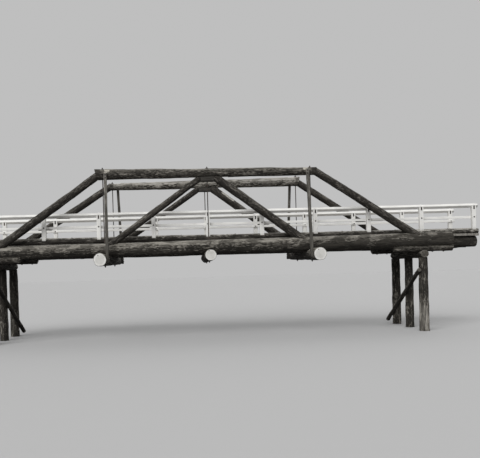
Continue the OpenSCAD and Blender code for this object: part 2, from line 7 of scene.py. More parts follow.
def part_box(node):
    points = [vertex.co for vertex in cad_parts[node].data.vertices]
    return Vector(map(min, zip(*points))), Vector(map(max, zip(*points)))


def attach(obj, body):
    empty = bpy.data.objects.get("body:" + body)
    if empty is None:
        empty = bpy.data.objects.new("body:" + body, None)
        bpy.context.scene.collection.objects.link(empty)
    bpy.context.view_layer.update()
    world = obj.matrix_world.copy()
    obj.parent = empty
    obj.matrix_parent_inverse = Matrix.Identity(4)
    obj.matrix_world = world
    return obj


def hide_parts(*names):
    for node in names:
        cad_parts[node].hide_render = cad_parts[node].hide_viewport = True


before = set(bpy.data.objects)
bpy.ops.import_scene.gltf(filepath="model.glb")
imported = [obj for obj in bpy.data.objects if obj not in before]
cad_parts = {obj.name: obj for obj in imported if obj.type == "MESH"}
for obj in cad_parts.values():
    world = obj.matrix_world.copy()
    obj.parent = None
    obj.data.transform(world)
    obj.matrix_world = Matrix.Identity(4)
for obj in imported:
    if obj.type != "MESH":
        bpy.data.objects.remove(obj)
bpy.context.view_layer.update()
print("frame: loaded", len(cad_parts), "nodes")

# Driving sizes of the bridge in metres, as the CAD model has them
bridge = {
    "panel": 3.66,          # spacing of the girders and rods
    "pierX": 7.66,
    "trussY": 1.5,
    "chordUnder": {"near": 2.966, "far": 2.996},
    "chordHalf": 8.70, "chordTip": 0.430, "chordButt": 0.564,
    "topUnder": 5.668, "topTip": 0.276, "topButt": 0.374,
    "kinkX": {"near": 3.820, "far": 3.720},     # half the length of a top chord's underside
    "overrun": 0.42,        # length of a log past its joint before it is cut
    "corbelTop": 3.07, "girderSeat": 3.002, "stringerSeat": 3.042,
    "joint": 0.0004,
}
panel, pierX, trussY, topUnder = (bridge[key] for key in ("panel", "pierX", "trussY", "topUnder"))
sides = {"near": -1, "far": 1}
sideNames = {-1: "near", 1: "far"}
ends = {"left": -1, "right": 1}
lanes = (-1, 0, 1)
deckUnder, deckTop = (corner.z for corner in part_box("span_deck"))
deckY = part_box("span_deck")[1].y
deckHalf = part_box("right_approach_deck")[1].x


def lerp(a, b, t):
    return a + (b - a) * t


# Radius of a log that tapers evenly, from its diameters at -half and at half
def taperRadius(first, second, place, half):
    return lerp(first, second, 0.5 + place / (2 * half)) / 2


def chordRadius(side, x):
    return taperRadius(bridge["chordTip"], bridge["chordButt"], -side * x, bridge["chordHalf"])


def chordTop(side, x):
    return bridge["chordUnder"][sideNames[side]] + 2 * chordRadius(side, x)


def topRadius(side, x):
    return taperRadius(bridge["topTip"], bridge["topButt"], side * x, bridge["kinkX"][sideNames[side]])


# A shape is a dictionary of numpy arrays: points, quads, tris, grain (place inside the piece, for the
# grain of the wood), wear (cut, bark, knot, upward: how far a face looks up, which the materials use for painted
# light and shade) and the material number of each face
def joined(shapes):
    out = {key: [] for key in ("points", "grain", "wear", "quads", "tris", "quadSkin", "triSkin")}
    base = 0
    for shape in shapes:
        for key in out:
            out[key].append(shape[key] + (base if key in ("quads", "tris") else 0))
        base += len(shape["points"])
    return {key: np.concatenate(out[key]) for key in out}


# A shape made for the right end, as it is or mirrored to the left end
def atEnd(end, shape):
    if end > 0:
        return shape
    return {**shape, "points": shape["points"] * [-1, 1, 1], "quads": shape["quads"][:, ::-1],
            "tris": shape["tris"][:, ::-1]}


def makePiece(name, shapes, skinNames, node=None, sharp=40):
    shape = joined(shapes)
    tris, quads = shape["tris"], shape["quads"]
    corners = np.concatenate([tris.ravel(), quads.ravel()])
    starts = np.concatenate([3 * np.arange(len(tris)), 3 * len(tris) + 4 * np.arange(len(quads))])
    mesh = bpy.data.meshes.new(name)
    mesh.vertices.add(len(shape["points"]))
    mesh.loops.add(len(corners))
    mesh.polygons.add(len(starts))
    mesh.vertices.foreach_set("co", shape["points"].astype(np.float32).ravel())
    mesh.loops.foreach_set("vertex_index", corners.astype(np.int32))
    mesh.polygons.foreach_set("loop_start", starts.astype(np.int32))
    mesh.polygons.foreach_set("material_index",
                              np.concatenate([shape["triSkin"], shape["quadSkin"]]).astype(np.int32))
    mesh.update(calc_edges=True)
    mesh.validate()
    for key, kind, field in (("grain", "FLOAT_VECTOR", "vector"), ("wear", "FLOAT_COLOR", "color")):
        values = shape[key].astype(np.float32).ravel()
        mesh.attributes.new(key, kind, "POINT").data.foreach_set(field, values)
    mesh.shade_smooth()
    mesh.set_sharp_from_angle(angle=math.radians(sharp))
    for skin in skinNames:
        mesh.materials.append(skins[skin])
    piece = bpy.data.objects.new(name, mesh)
    bpy.context.scene.collection.objects.link(piece)
    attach(piece, "root")
    if node:
        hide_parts(node)


def unit(v):
    v = np.asarray(v, float)
    return v / np.linalg.norm(v)


def pathBetween(start, finish, upward):
    start, finish = np.asarray(start, float), np.asarray(finish, float)
    along = unit(finish - start)
    up = unit(np.asarray(upward, float) - along * np.dot(along, upward))
    return {"start": start, "along": along, "up": up, "side": np.cross(along, up),
            "reach": np.linalg.norm(finish - start)}


# Where a column (a, b) of the section ends: square to the path without planes, at a formula of its own, or
# where it meets the end planes: s = (d - n·(start + a·side + b·up)) / n·along, the least of them at the far
# end of the path and the greatest at its start
def endOf(path, planes, last):
    if callable(planes):
        return planes

    def endAt(a, b):
        if planes is None:
            return 0 * a + path["reach"] * last
        hits = [(d - path["start"] @ n - a * (path["side"] @ n) - b * (path["up"] @ n)) / (path["along"] @ n)
                for n, d in planes]
        return np.min(hits, 0) if last else np.max(hits, 0)
    return endAt


# Faces between rings of points laid row after row, and fans that close both ends on two poles that follow
def ringFaces(rows, columns):
    k = np.arange(columns)
    beside = (k + 1) % columns
    row = np.arange(rows - 1)[:, None] * columns
    quads = np.stack([row + k, row + beside, row + columns + beside, row + columns + k], -1).reshape(-1, 4)
    last, pole = (rows - 1) * columns, rows * columns + 0 * k
    tris = np.concatenate([np.stack([pole, beside, k], -1), np.stack([last + k, last + beside, pole + 1], -1)])
    return quads, tris


carry = {
    "stepHalf": 0.0006, "stepClear": 0.004, "stepEnd": 0.01,    # extra stations on both sides of a cut's ends
    "fade": 2.6, "fadeMore": 0.02,      # how far a slanting end bends the stations, in shares of its slant
    "grainShift": 13.7, "grainTurns": 29,
}


# A section carried along a straight path: point = start + s·along + a·side + b·up, where (a, b) is the
# section's outline at column k and distance s. The ends follow their own surfaces, fade into the
# body's stations and close with rings that shrink to a pole
def carried(path, section, columns, spacing, endPlanes, seed, steps, rim, rings, endSkin):
    k = np.arange(columns)
    endAt = [endOf(path, planes, last) for last, planes in enumerate(endPlanes)]

    def solved(end, shrink):
        s = np.full(columns, path["reach"] * end)
        for again in range(5):      # the outline and the end's place settle on each other
            a, b, wear = section(k, s)
            s = endAt[end](a * shrink, b * shrink)
        return s

    full = [solved(0, 1) + rim, solved(1, 1) - rim]
    first, last = full[0].mean(), full[1].mean()
    stations = np.linspace(first, last, max(2, int(round((last - first) / spacing)) + 1))
    inner = [e + d for e in steps for d in (-carry["stepHalf"], carry["stepHalf"])
             if first + carry["stepEnd"] < e < last - carry["stepEnd"]]
    keep = np.all(np.abs(stations[:, None] - inner) > carry["stepClear"], 1)
    keep[[0, -1]] = True
    stations = np.sort(np.concatenate([stations[keep], inner]))[:, None]
    s = stations
    for f, away in zip(full, (stations - first, last - stations)):
        fade = carry["fade"] * np.ptp(f) / 2 + carry["fadeMore"]
        s = s + (f - f.mean()) * np.clip(1 - away / fade, 0, 1)

    wide = np.ptp(section(k, np.full(columns, path["reach"] / 2))[0]) + 1e-6
    shrinks = [(1 - 2 * rim / wide) * (1 - i / rings) for i in range(rings)]

    def cap(end):
        a, b, wear = section(k, full[end])
        return [(a * shrink, b * shrink, wear, solved(end, shrink)) for shrink in shrinks]

    body = list(zip(*section(k[None, :], s), s))
    a, b, wear, s = (np.array(column) for column in zip(*(cap(0)[::-1] + body + cap(1))))
    rows = len(a)
    poles = [endAt[end](np.zeros(1), np.zeros(1))[0] for end in (0, 1)]
    a, b, s = np.append(a, (0, 0)), np.append(b, (0, 0)), np.append(s, poles)
    points = path["start"] + s[:, None] * path["along"] + a[:, None] * path["side"] + b[:, None] * path["up"]
    grain = np.stack([a, b, s + carry["grainShift"] * (seed % carry["grainTurns"])], -1)
    wear = np.concatenate([wear.reshape(-1, 4), wear[0, :1], wear[-1, :1]])
    quads, tris = ringFaces(rows, columns)
    quadSkin = np.zeros((rows - 1, columns), int)
    quadSkin[:rings - 1] = quadSkin[rows - rings:] = endSkin
    return {"points": points, "grain": grain, "wear": wear, "quads": quads, "tris": tris,
            "quadSkin": quadSkin.ravel(), "triSkin": np.full(len(tris), endSkin)}


# Sum of waves sin(m·turn + q·s + phase), many round the log and few along it, scaled to a mean square of 1
def lengthwise(turn, s, seed, count, fewest, most, stretch):
    rng = np.random.default_rng(seed)
    total, power = 0.0, 0.0
    for i in range(count):
        m = rng.integers(fewest, most + 1)
        q = rng.normal(0, stretch)
        phase = rng.uniform(0, 2 * math.pi)
        total = total + np.sin(m * turn + q * s + phase) / math.sqrt(m)
        power += 1 / (2 * m)
    return total / math.sqrt(power)


def smooth(low, high, x):
    t = np.clip((x - low) / (high - low), 0, 1)
    return t * t * (3 - 2 * t)


logs = {
    "waveShare": 0.016,     # the swell of the CAD logs
    "furrow": 0.0045,       # depth of the lengthwise furrows
    "uneven": 0.003,        # how far a log is from round
    "crook": 0.005, "crookWaves": (2.1, 1.6),       # how far its axis wanders, and how tight
    "meander": ((0.12, 1.7), (0.05, 5.3)),      # how far furrows wind round the log, and how tight
    "barkThick": 0.006,
    "knotsPerMetre": 0.9, "knotWide": (0.025, 0.05), "knotHigh": 0.016,
    # waves of furrows, bark and lumps: count, fewest and most round the log, and how tight along it
    "furrowWaves": (16, 5, 22, 3.5), "barkWaves": (14, 1, 7, 4.5), "lumpWaves": (10, 2, 5, 2.0),
    "barkAlong": ((0, 99), (0, 0)),     # places along the log, and how much more or less bark is left there
    "bareCrown": 0.0,       # how far the crown is free of that bark
    "usual": 0.2,           # radius that these sizes suit
    "least": 0.02,          # radius that no cut goes under
}


# The section of a log in polar form: radius = taper + swell + furrows + bark + knots, about an axis that
# wanders a little, and held back by the flats and notches that are cut in it. A cut is a set of planes
# (n, d) of which a point has to keep behind at least one, over a range of s
def logSection(path, r0, r1, seed, columns, cuts, look):
    rng = np.random.default_rng(1000 + seed)
    count = int(path["reach"] * look["knotsPerMetre"])
    knots = list(zip(rng.uniform(0, 2 * math.pi, count), rng.uniform(0.1, path["reach"] - 0.1, count),
                     rng.uniform(*look["knotWide"], count), rng.uniform(0.4, 1.0, count)))
    bend = rng.uniform(0, 2 * math.pi, 4)

    def section(k, s):
        turn = 2 * math.pi * k / columns
        cosT, sinT = np.cos(turn), np.sin(turn)
        t = np.clip(s / path["reach"], 0, 1)
        # the same two waves as in the CAD model
        swell = np.sin(np.radians(seed * 67 + t * 610)) + 0.7 * np.sin(np.radians(seed * 131 + t * 1430))
        base = r0 + (r1 - r0) * t + look["waveShare"] * r0 * swell
        size = base / look["usual"]
        meander = sum(far * np.sin(tight * s + start) for (far, tight), start in zip(look["meander"], bend))
        furrows = lengthwise(turn + meander, s, 50 + seed, *look["furrowWaves"])
        lumps = lengthwise(turn, s, 130 + seed, *look["lumpWaves"])
        crown = smooth(0.45, 0.85, cosT * path["up"][2] + sinT * path["side"][2])
        left = np.interp(s, *look["barkAlong"])
        left = left - look["bareCrown"] * crown * np.clip(left, 0, 1)
        bark = smooth(0.0, 0.5, lengthwise(turn, s, 90 + seed, *look["barkWaves"]) + left) + 0.6 * left
        r = base + look["furrow"] * (0.5 - np.abs(furrows)) * np.minimum(size, 1.2)
        r = r + look["uneven"] * lumps * size + look["barkThick"] * (np.clip(bark, 0, 1) - 0.5)
        knotted = 0 * r
        for knotTurn, knotS, knotWide, knotHigh in knots:
            gap = (turn - knotTurn + math.pi) % (2 * math.pi) - math.pi
            near = ((gap * base) ** 2 + (0.7 * (s - knotS)) ** 2) / knotWide ** 2
            ring = np.exp(-near) - 0.7 * np.exp(-6 * near)      # a rounded rise with a hollow in its middle
            r = r + look["knotHigh"] * knotHigh * ring * np.minimum(size, 1)
            knotted = np.maximum(knotted, np.exp(-1.5 * near))
        wander = look["crook"] * np.sin(math.pi * t)
        offA, offB = (wander * np.sin(tight * s + start) for tight, start in zip(look["crookWaves"], bend[2:]))
        # columns turn from up towards the side, so that the faces point outwards
        direction = cosT[..., None] * path["up"] + sinT[..., None] * path["side"]
        axis = path["start"] + s[..., None] * path["along"]
        axis = axis + offA[..., None] * path["side"] + offB[..., None] * path["up"]
        limit = np.full(r.shape, np.inf)
        for planes, low, high in cuts:
            best = np.full(r.shape, -np.inf)
            for n, d in planes:
                room, lean = d - axis @ n, direction @ n
                facing = lean > 1e-6
                missed = np.where(room >= 0, np.inf, -np.inf)
                best = np.maximum(best, np.where(facing, room / np.where(facing, lean, 1), missed))
            limit = np.minimum(limit, np.where((s >= low) & (s <= high), best, np.inf))
        cut = (limit < r - 0.001) * 1.0
        r = np.maximum(np.minimum(r, limit), look["least"])
        wear = np.stack([cut, bark, knotted, direction[..., 2] + 0 * r], -1)
        return r * sinT + offA, r * cosT + offB, wear
    return section


def logShape(start, finish, r0, r1, seed, cuts=(), endPlanes=(None, None), upward=(0, 0, 1), look=logs,
             spacing=0.036, columns=52, rim=0.006):
    path = pathBetween(start, finish, upward)
    steps = [e for planes, low, high in cuts for e in (low, high) if 0 < e < path["reach"]]
    section = logSection(path, r0, r1, seed, columns, cuts, look)
    return carried(path, section, columns, spacing, endPlanes, seed, steps, rim, 4, 1)


# A log along the bridge that is level underneath
def levelLog(half, y, under, r0, r1, seed, cuts, **more):
    return logShape([-half, y, under + r0], [half, y, under + r1], r0, r1, seed, cuts, **more)


def plane(n, point):
    n = unit(n)
    return n, float(n @ np.asarray(point, float))


# Cuts reach so far on both sides of a place along the log, or all along it
def cutBy(planes, place=0, reach=99):
    return planes, place - reach, place + reach


def above(z, *where):
    return cutBy([plane((0, 0, -1), (0, 0, z))], *where)


def below(z, *where):
    return cutBy([plane((0, 0, 1), (0, 0, z))], *where)


# A flat hewn in a log of radius r, on the side that n looks to, from low to high along it: its ends run out
# to the log's surface over a short length
def hewnFlat(start, along, n, r, low, high, deep, run):
    start, along, n = np.asarray(start, float), unit(along), unit(n)
    floor = start + n * (r - deep)
    slants = [plane(n + way * deep / run * along, floor + along * place) for way, place in ((1, low), (-1, high))]
    return [plane(n, floor)] + slants, low - run, high + run


# A value in a material's tree of nodes, so that formulas are written as sums and products
class nodeValue:
    def __init__(self, tree, socket):
        self.tree, self.socket = tree, socket

    def maths(self, operation, other):
        return addNode(self.tree, "Math", {0: self, 1: other}, operation=operation)

    def __add__(self, other):
        return self.maths("ADD", other)

    def __sub__(self, other):
        return self.maths("SUBTRACT", other)

    def __mul__(self, other):
        return self.maths("MULTIPLY", other)

    def remap(self, low, high, toLow=0.0, toHigh=1.0):
        return addNode(self.tree, "MapRange", {"Value": self, "From Min": low, "From Max": high, "To Min": toLow,
                                               "To Max": toHigh}, interpolation_type="SMOOTHSTEP")

    # another output of the same node
    def output(self, key):
        return nodeValue(self.tree, self.socket.node.outputs[key])


def addNode(tree, kind, inputs, **settings):
    node = tree.nodes.new("ShaderNode" + kind)
    for key, value in settings.items():
        setattr(node, key, value)
    for key, value in inputs.items():
        if isinstance(value, nodeValue):
            tree.links.new(value.socket, node.inputs[key])
        else:
            node.inputs[key].default_value = value
    return nodeValue(tree, node.outputs[0])


def newMaterial(name, roughness, specular=0.3, metallic=0.0):
    material = bpy.data.materials.new(name)
    material.use_nodes = True
    shader = material.node_tree.nodes["Principled BSDF"]
    shader.inputs["Roughness"].default_value = roughness
    shader.inputs["Specular IOR Level"].default_value = specular
    shader.inputs["Metallic"].default_value = metallic
    return material, material.node_tree


# Gives a material's shader its colour and its bumps, a height in shares of a distance in metres
def coloured(tree, colour, height, distance, strength):
    shader = tree.nodes["Principled BSDF"]
    bump = addNode(tree, "Bump", {"Height": height, "Distance": distance, "Strength": strength})
    tree.links.new(colour.socket, shader.inputs["Base Color"])
    tree.links.new(bump.socket, shader.inputs["Normal"])


def attribute(tree, name, output):
    return addNode(tree, "Attribute", {}, attribute_name=name).output(output)


def objectPlace(tree):
    return addNode(tree, "TexCoord", {}).output("Object")


def noise(place, scale, detail=4.0, rough=0.55):
    mapped = addNode(place.tree, "Mapping", {"Vector": place, "Scale": scale})
    return addNode(place.tree, "TexNoise", {"Vector": mapped, "Scale": 1.0, "Detail": detail, "Roughness": rough})


def cracks(place, scale, width):
    mapped = addNode(place.tree, "Mapping", {"Vector": place, "Scale": scale})
    edge = addNode(place.tree, "TexVoronoi", {"Vector": mapped, "Scale": 1.0}, feature="DISTANCE_TO_EDGE")
    return edge.remap(0.0, width, 1.0, 0.0)


def mixed(factor, a, b, blend="MIX"):
    a, b = ((*colour, 1) if isinstance(colour, tuple) else colour for colour in (a, b))
    node = addNode(factor.tree, "Mix", {0: factor, 6: a, 7: b}, data_type="RGBA", blend_type=blend)
    return node.output(2)


def fromPith(grain):
    flat = addNode(grain.tree, "VectorMath", {0: grain, 1: (1, 1, 0)}, operation="MULTIPLY")
    return addNode(grain.tree, "VectorMath", {0: flat}, operation="LENGTH").output("Value")


logFinish = {
    "bare": (0.36, 0.34, 0.30),     # weathered wood where the bark is gone
    "worn": (0.20, 0.185, 0.16),
    "bark": (0.055, 0.05, 0.042),
    # the darkest colour: dark wood, painted shade on undersides, and the dark of cracks
    "darkAndShaded": (0.03, 0.027, 0.023),   # undersides and cracks
    "fresh": (0.30, 0.27, 0.225),   # axe-cut faces
}


# Bark and bare wood lie in streaks and small flecks and cracks run lengthwise. Faces that look up are painted
# paler, the crown paler still, and undersides darker: painted light and painted shade. A near pile is washed pale up
# to a height over its foot
def logMaterial(name, finish, pale, under, crown=0.0, washed=0.0):
    material, tree = newMaterial(name, 0.85, 0.2)
    grain, wear = attribute(tree, "grain", "Vector"), attribute(tree, "wear", "Color")
    parts = addNode(tree, "SeparateColor", {"Color": wear})
    cut, bark, knot, upward = parts, parts.output(1), parts.output(2), wear.output("Alpha")
    streaks = noise(grain, (22, 22, 1.6), 6.0, 0.62)
    patches = noise(grain, (7, 7, 2.4), 5.0, 0.6)
    flecks = noise(grain, (30, 30, 9), 3.0, 0.6)
    fibres = noise(grain, (160, 160, 6), 3.0, 0.6)
    strips = noise(grain, (24, 24, 0.6), 4.0, 0.6)
    checks = cracks(grain, (17, 17, 0.8), 0.045)
    thick = bark.remap(1.0, 2.0)
    weatheredAndLit = streaks.remap(0.38, 0.66, 0.0, 0.7) + patches.remap(0.42, 0.66, -0.3, 0.5)
    weatheredAndLit += flecks.remap(0.42, 0.62, -0.3, 0.7)
    # painted light and shade: faces that look up are paler by pale, the crown more by crown, undersides darker by
    # under
    weatheredAndLit += upward.remap(-0.7, 0.95, -under, pale) + upward.remap(0.5, 0.95, 0.0, crown)
    weatheredAndLit += thick * strips.remap(0.52, 0.66) * 0.8 - thick * 1.1
    weatheredAndLit += bark.remap(0.0, -0.6, 0.0, 0.9)
    if washed:
        place = addNode(tree, "SeparateXYZ", {0: objectPlace(tree)})
        y, z = place.output("Y"), place.output("Z")
        wet = (z + patches).remap(1.9, 0.9, 0.0, washed) * y.remap(-1.2, -0.3, 1.0, 0.15)
        weatheredAndLit += wet * z.remap(0.05, 0.55, 0.45, 1.0)
    colour = mixed(weatheredAndLit.remap(0.0, 0.75), finish["darkAndShaded"], finish["worn"])
    colour = mixed(weatheredAndLit.remap(0.65, 1.5), colour, finish["bare"])
    colour = mixed(bark * patches.remap(0.35, 0.6) * 0.75, colour, finish["bark"])
    colour = mixed(cut, colour, finish["fresh"])
    colour = mixed(knot * 0.7, colour, finish["bark"])
    colour = mixed(fibres.remap(0.3, 0.7, 0.0, 0.35), colour, finish["bark"], "MULTIPLY")
    colour = mixed(checks * 0.85, colour, finish["darkAndShaded"])
    coloured(tree, colour, streaks * 0.6 + fibres * 0.25 - checks * 0.8, 0.012, 0.9)
    return material


# Sawn ends: rings about the pith, cracks that open from it and a few small bright flecks, partly fresh chips and
# partly painted highlights
def endMaterial(name, pale, dark, chipAndGlint, split):
    material, tree = newMaterial(name, 0.8, 0.2)
    grain = attribute(tree, "grain", "Vector")
    far = fromPith(grain) + noise(grain, (9, 9, 9), 3.0) * 0.02
    rings = (far * 900.0).maths("SINE", 0.0)
    xyz = addNode(tree, "SeparateXYZ", {0: grain})
    turn = xyz.maths("ARCTAN2", xyz.output(1)) * 3.5
    spokes = noise(addNode(tree, "CombineXYZ", {0: turn, 1: far, 2: xyz.output(2)}), (1, 1, 1))
    splits = spokes.remap(0.60, 0.68) * 0.8
    colour = mixed(noise(grain, (14, 14, 14), 5.0, 0.65).remap(0.35, 0.65), dark, pale)
    colour = mixed(rings.remap(-1, 1, 0, 0.25), colour, dark)
    # small bright flecks: fresh chips and painted highlights
    colour = mixed(noise(grain, (26, 26, 26), 2.0).remap(0.70, 0.74, 0.0, 0.8), colour, chipAndGlint)
    colour = mixed(splits, colour, split)
    coloured(tree, colour, rings * 0.1 - splits, 0.006, 0.8)
    return material


# White paint over sawn timber: brush-worn edges, grain that shows through and grey weather stains. A log's
# end is stained further than so far from its pith
def paintMaterial(name, white, grey, wood, chipped, rim=None):
    material, tree = newMaterial(name, 0.6, 0.35)
    grain = attribute(tree, "grain", "Vector")
    streaks = noise(grain, (70, 70, 3), 5.0, 0.6)
    chips = noise(grain, (30, 30, 10), 7.0, 0.7).remap(0.70 - chipped, 0.73 - chipped)
    colour = mixed(noise(grain, (6, 6, 2), 5.0, 0.6).remap(0.42, 0.72, 0.0, 0.6), white, grey)
    colour = mixed(streaks.remap(0.5, 0.75, 0.0, 0.4), colour, grey)
    if rim:
        colour = mixed(fromPith(grain).remap(rim, rim + 0.04, 0.35, 0.0), colour, grey)
    colour = mixed(chips * 0.85, colour, wood)
    coloured(tree, colour, streaks * 0.5 - chips * 0.34, 0.003, 0.7)
    return material


# Sawn timber silvered by weather, with dark cracks along the grain. Faces that look down are painted
# darker, and it is painted darker towards its foot between two heights: painted shade
def timberMaterial(name, pale, dark, crack, shadeBelow=None):
    material, tree = newMaterial(name, 0.8, 0.25)
    grain, upward = attribute(tree, "grain", "Vector"), attribute(tree, "wear", "Alpha")
    bands = noise(grain, (45, 45, 1.4), 5.0, 0.6)
    fibres = noise(grain, (220, 220, 5), 3.0, 0.6)
    checks = cracks(grain, (24, 24, 0.9), 0.03)
    colour = mixed(bands.remap(0.35, 0.66), dark, pale)
    colour = mixed(noise(grain, (9, 9, 4), 5.0, 0.65).remap(0.42, 0.62, 0.0, 0.75), colour, dark)
    # painted shade: faces that look down are darker
    colour = mixed(upward.remap(-0.9, 0.1, 0.6, 0.0), colour, dark)
    # painted shade: darker below the given heights
    if shadeBelow:
        z = addNode(tree, "SeparateXYZ", {0: objectPlace(tree)}).output("Z")
        colour = mixed(z.remap(*shadeBelow, 0.85, 0.0), colour, dark)
    colour = mixed(fibres.remap(0.35, 0.7, 0.0, 0.4), colour, crack, "MULTIPLY")
    colour = mixed(checks * 0.8, colour, crack)
    coloured(tree, colour, bands * 0.5 + fibres * 0.35 - checks * 0.9, 0.005, 0.9)
    return material


def ironMaterial(name, dark, rust):
    material, tree = newMaterial(name, 0.6, 0.4, 0.35)
    place = objectPlace(tree)
    patches = noise(place, (9, 9, 9), 6.0, 0.65)
    pits = noise(place, (90, 90, 90), 4.0, 0.6)
    colour = mixed(patches.remap(0.42, 0.62), dark, rust)
    colour = mixed(pits.remap(0.45, 0.7, 0.0, 0.6), colour, dark)
    coloured(tree, colour, patches + pits, 0.002, 0.8)
    return material


darkFinish = {**logFinish, "bare": (0.22, 0.205, 0.18), "worn": (0.11, 0.10, 0.088)}
paleFinish = {**logFinish, "bare": (0.46, 0.44, 0.40), "worn": (0.26, 0.245, 0.215), "bark": (0.10, 0.09, 0.078)}
# pale, under and crown set, piece by piece, how much paler faces that look up and how much darker undersides are
# painted: painted light and painted shade
skins = {
    "chord": logMaterial("weathered_log", logFinish, pale=0.70, under=0.65, crown=0.45),
    "topLog": logMaterial("worn_log", {**logFinish, "fresh": (0.60, 0.57, 0.50)}, pale=-0.05, under=0.10,
                          crown=0.95),
    "paleLog": logMaterial("bare_log", {**paleFinish, "fresh": (0.66, 0.63, 0.57)}, pale=1.05, under=-0.10,
                           crown=0.8),
    "kerb": logMaterial("kerb_log", {**paleFinish, "worn": (0.15, 0.14, 0.122)}, pale=0.18, under=0.95, crown=1.0),
    "strut": logMaterial("dark_log", {**darkFinish, "fresh": (0.60, 0.575, 0.52)}, pale=0.40, under=0.50),
    "corbel": logMaterial("corbel_log", logFinish, pale=0.75, under=0.35),
    "brace": logMaterial("brace_pole", darkFinish, pale=1.10, under=0.60),
    "pile": logMaterial("pile_log", {**logFinish, "bare": (0.42, 0.395, 0.35)}, pale=0.1, under=0.75, washed=2.3),
    "logEnd": endMaterial("log_end_grain", pale=(0.13, 0.12, 0.104), dark=(0.05, 0.045, 0.038),
                          chipAndGlint=(0.50, 0.47, 0.41), split=(0.02, 0.018, 0.015)),
    "paintedEnd": paintMaterial("painted_log_end", white=(0.77, 0.76, 0.73), grey=(0.46, 0.45, 0.42),
                                wood=(0.22, 0.2, 0.17), chipped=0.06, rim=0.13),
    "paint": paintMaterial("white_paint", white=(0.84, 0.83, 0.80), grey=(0.60, 0.59, 0.57),
                           wood=(0.30, 0.28, 0.25), chipped=0.0),
    "timber": timberMaterial("timber_shaded_below", pale=(0.33, 0.31, 0.275), dark=(0.08, 0.075, 0.065),
                             crack=(0.03, 0.027, 0.023), shadeBelow=(3.8, 5.2)),
    "block": timberMaterial("dark_timber", pale=(0.085, 0.079, 0.07), dark=(0.04, 0.037, 0.032),
                            crack=(0.02, 0.018, 0.016)),
    "plank": timberMaterial("deck_plank", pale=(0.44, 0.42, 0.38), dark=(0.25, 0.235, 0.21),
                            crack=(0.05, 0.045, 0.04)),
    "iron": ironMaterial("wrought_iron", dark=(0.035, 0.032, 0.03), rust=(0.085, 0.06, 0.045)),
}
print("materials: made", len(skins))

# Lower chords: one log each, notched for the struts, checked over the girders, trimmed over the corbels
lowerChord = {
    "grid": {"spacing": 0.027, "columns": 80}, "seed": 3,
    "girderBed": 0.2007, "corbelTrim": {"near": 6.55, "far": 6.66},
    # the near log's butt is barky
    "bark": {"barkAlong": ((0, 11.8, 13.0, 15.2, 16.1, 99), (0, 0, 0.8, 0.8, 1.7, 1.7)), "bareCrown": 0.9},
}
struts = {
    "outerTop": 0.262, "outerFoot": 0.292, "outerFootX": 7.05,
    "innerTop": {"left": 0.216, "right": 0.284},
    "innerFoot": {"left": 0.230, "right": 0.304},
    "innerFootX": {"left": 3.190, "right": 2.975},
    "blockHalf": 0.232, "blockDepth": 0.140, "headFlat": 0.018, "headRoom": 0.04,
    "step": 0.090, "heel": 0.022, "room": 0.010,
    "grid": {"spacing": 0.030, "columns": 52}, "seeds": {"outer": 11, "inner": 23},
    # a flat hewn on the far right inner strut: from, to, how far in from round, the length its ends take
    # to run out, and how steeply it looks up
    "scar": (0.88, 1.32, 0.014, 0.10, 0.84),
}


# Outline of a strut from the side, on the right half: its underside runs from a to b, the foot ends in a
# step square to its axis and a seat that rises to the heel
def strutOutline(sideName, endName, kind):
    if kind == "outer":
        a = np.array([bridge["kinkX"][sideName], topUnder])
        footX, dTop, dFoot = struts["outerFootX"], struts["outerTop"], struts["outerFoot"]
    else:
        a = np.array([struts["blockHalf"], topUnder - struts["blockDepth"]])
        footX, dTop, dFoot = (struts[key][endName] for key in ("innerFootX", "innerTop", "innerFoot"))
    b = np.array([footX, chordTop(sides[sideName], ends[endName] * footX)])
    angle = math.atan2(a[1] - b[1], b[0] - a[0])
    step = b + [dFoot / math.sin(angle), 0] - struts["step"] * np.array([math.tan(angle), 1])
    heel = b + struts["heel"] * np.array([1 / math.tan(angle), -1])
    seat = unit(heel - step)
    return {"a": a, "b": b, "angle": angle, "step": step, "heel": heel, "dTop": dTop, "dFoot": dFoot,
            "up": np.array([math.sin(angle), math.cos(angle)]),
            "down": np.array([math.cos(angle), -math.sin(angle)]),
            "seat": seat, "seatUp": np.array([-seat[1], seat[0]]) * (1 if seat[0] > 0 else -1)}


def sidePlane(n, point, end=1):
    return plane([end * n[0], 0, n[1]], [end * point[0], 0, point[1]])


def footNotch(o, end):
    back = o["heel"] + struts["room"] * o["seat"]
    return cutBy([sidePlane(o["seatUp"], o["step"], end), sidePlane(-o["down"], o["step"], end),
                  sidePlane(o["up"], back, end)])


for sideName, side in sides.items():
    half = bridge["chordHalf"]
    cuts = [footNotch(strutOutline(sideName, endName, kind), end)
            for endName, end in ends.items() for kind in ("outer", "inner")]
    cuts += [above(bridge["girderSeat"], half + place * panel, lowerChord["girderBed"]) for place in lanes]
    bare = half - lowerChord["corbelTrim"][sideName]
    cuts += [above(bridge["corbelTop"], tip, 99 + bare) for tip in (-99, 2 * half + 99)]
    bark = lowerChord["bark"] if side < 0 else {}
    shape = levelLog(half, side * trussY, bridge["chordUnder"][sideName], chordRadius(side, -half),
                     chordRadius(side, half), lowerChord["seed"] + side, cuts, look={**logs, **bark},
                     **lowerChord["grid"])
    makePiece(sideName + "_lower_chord_log", [shape], ("chord", "logEnd"), sideName + "_lower_chord")
print("lower chords: made")

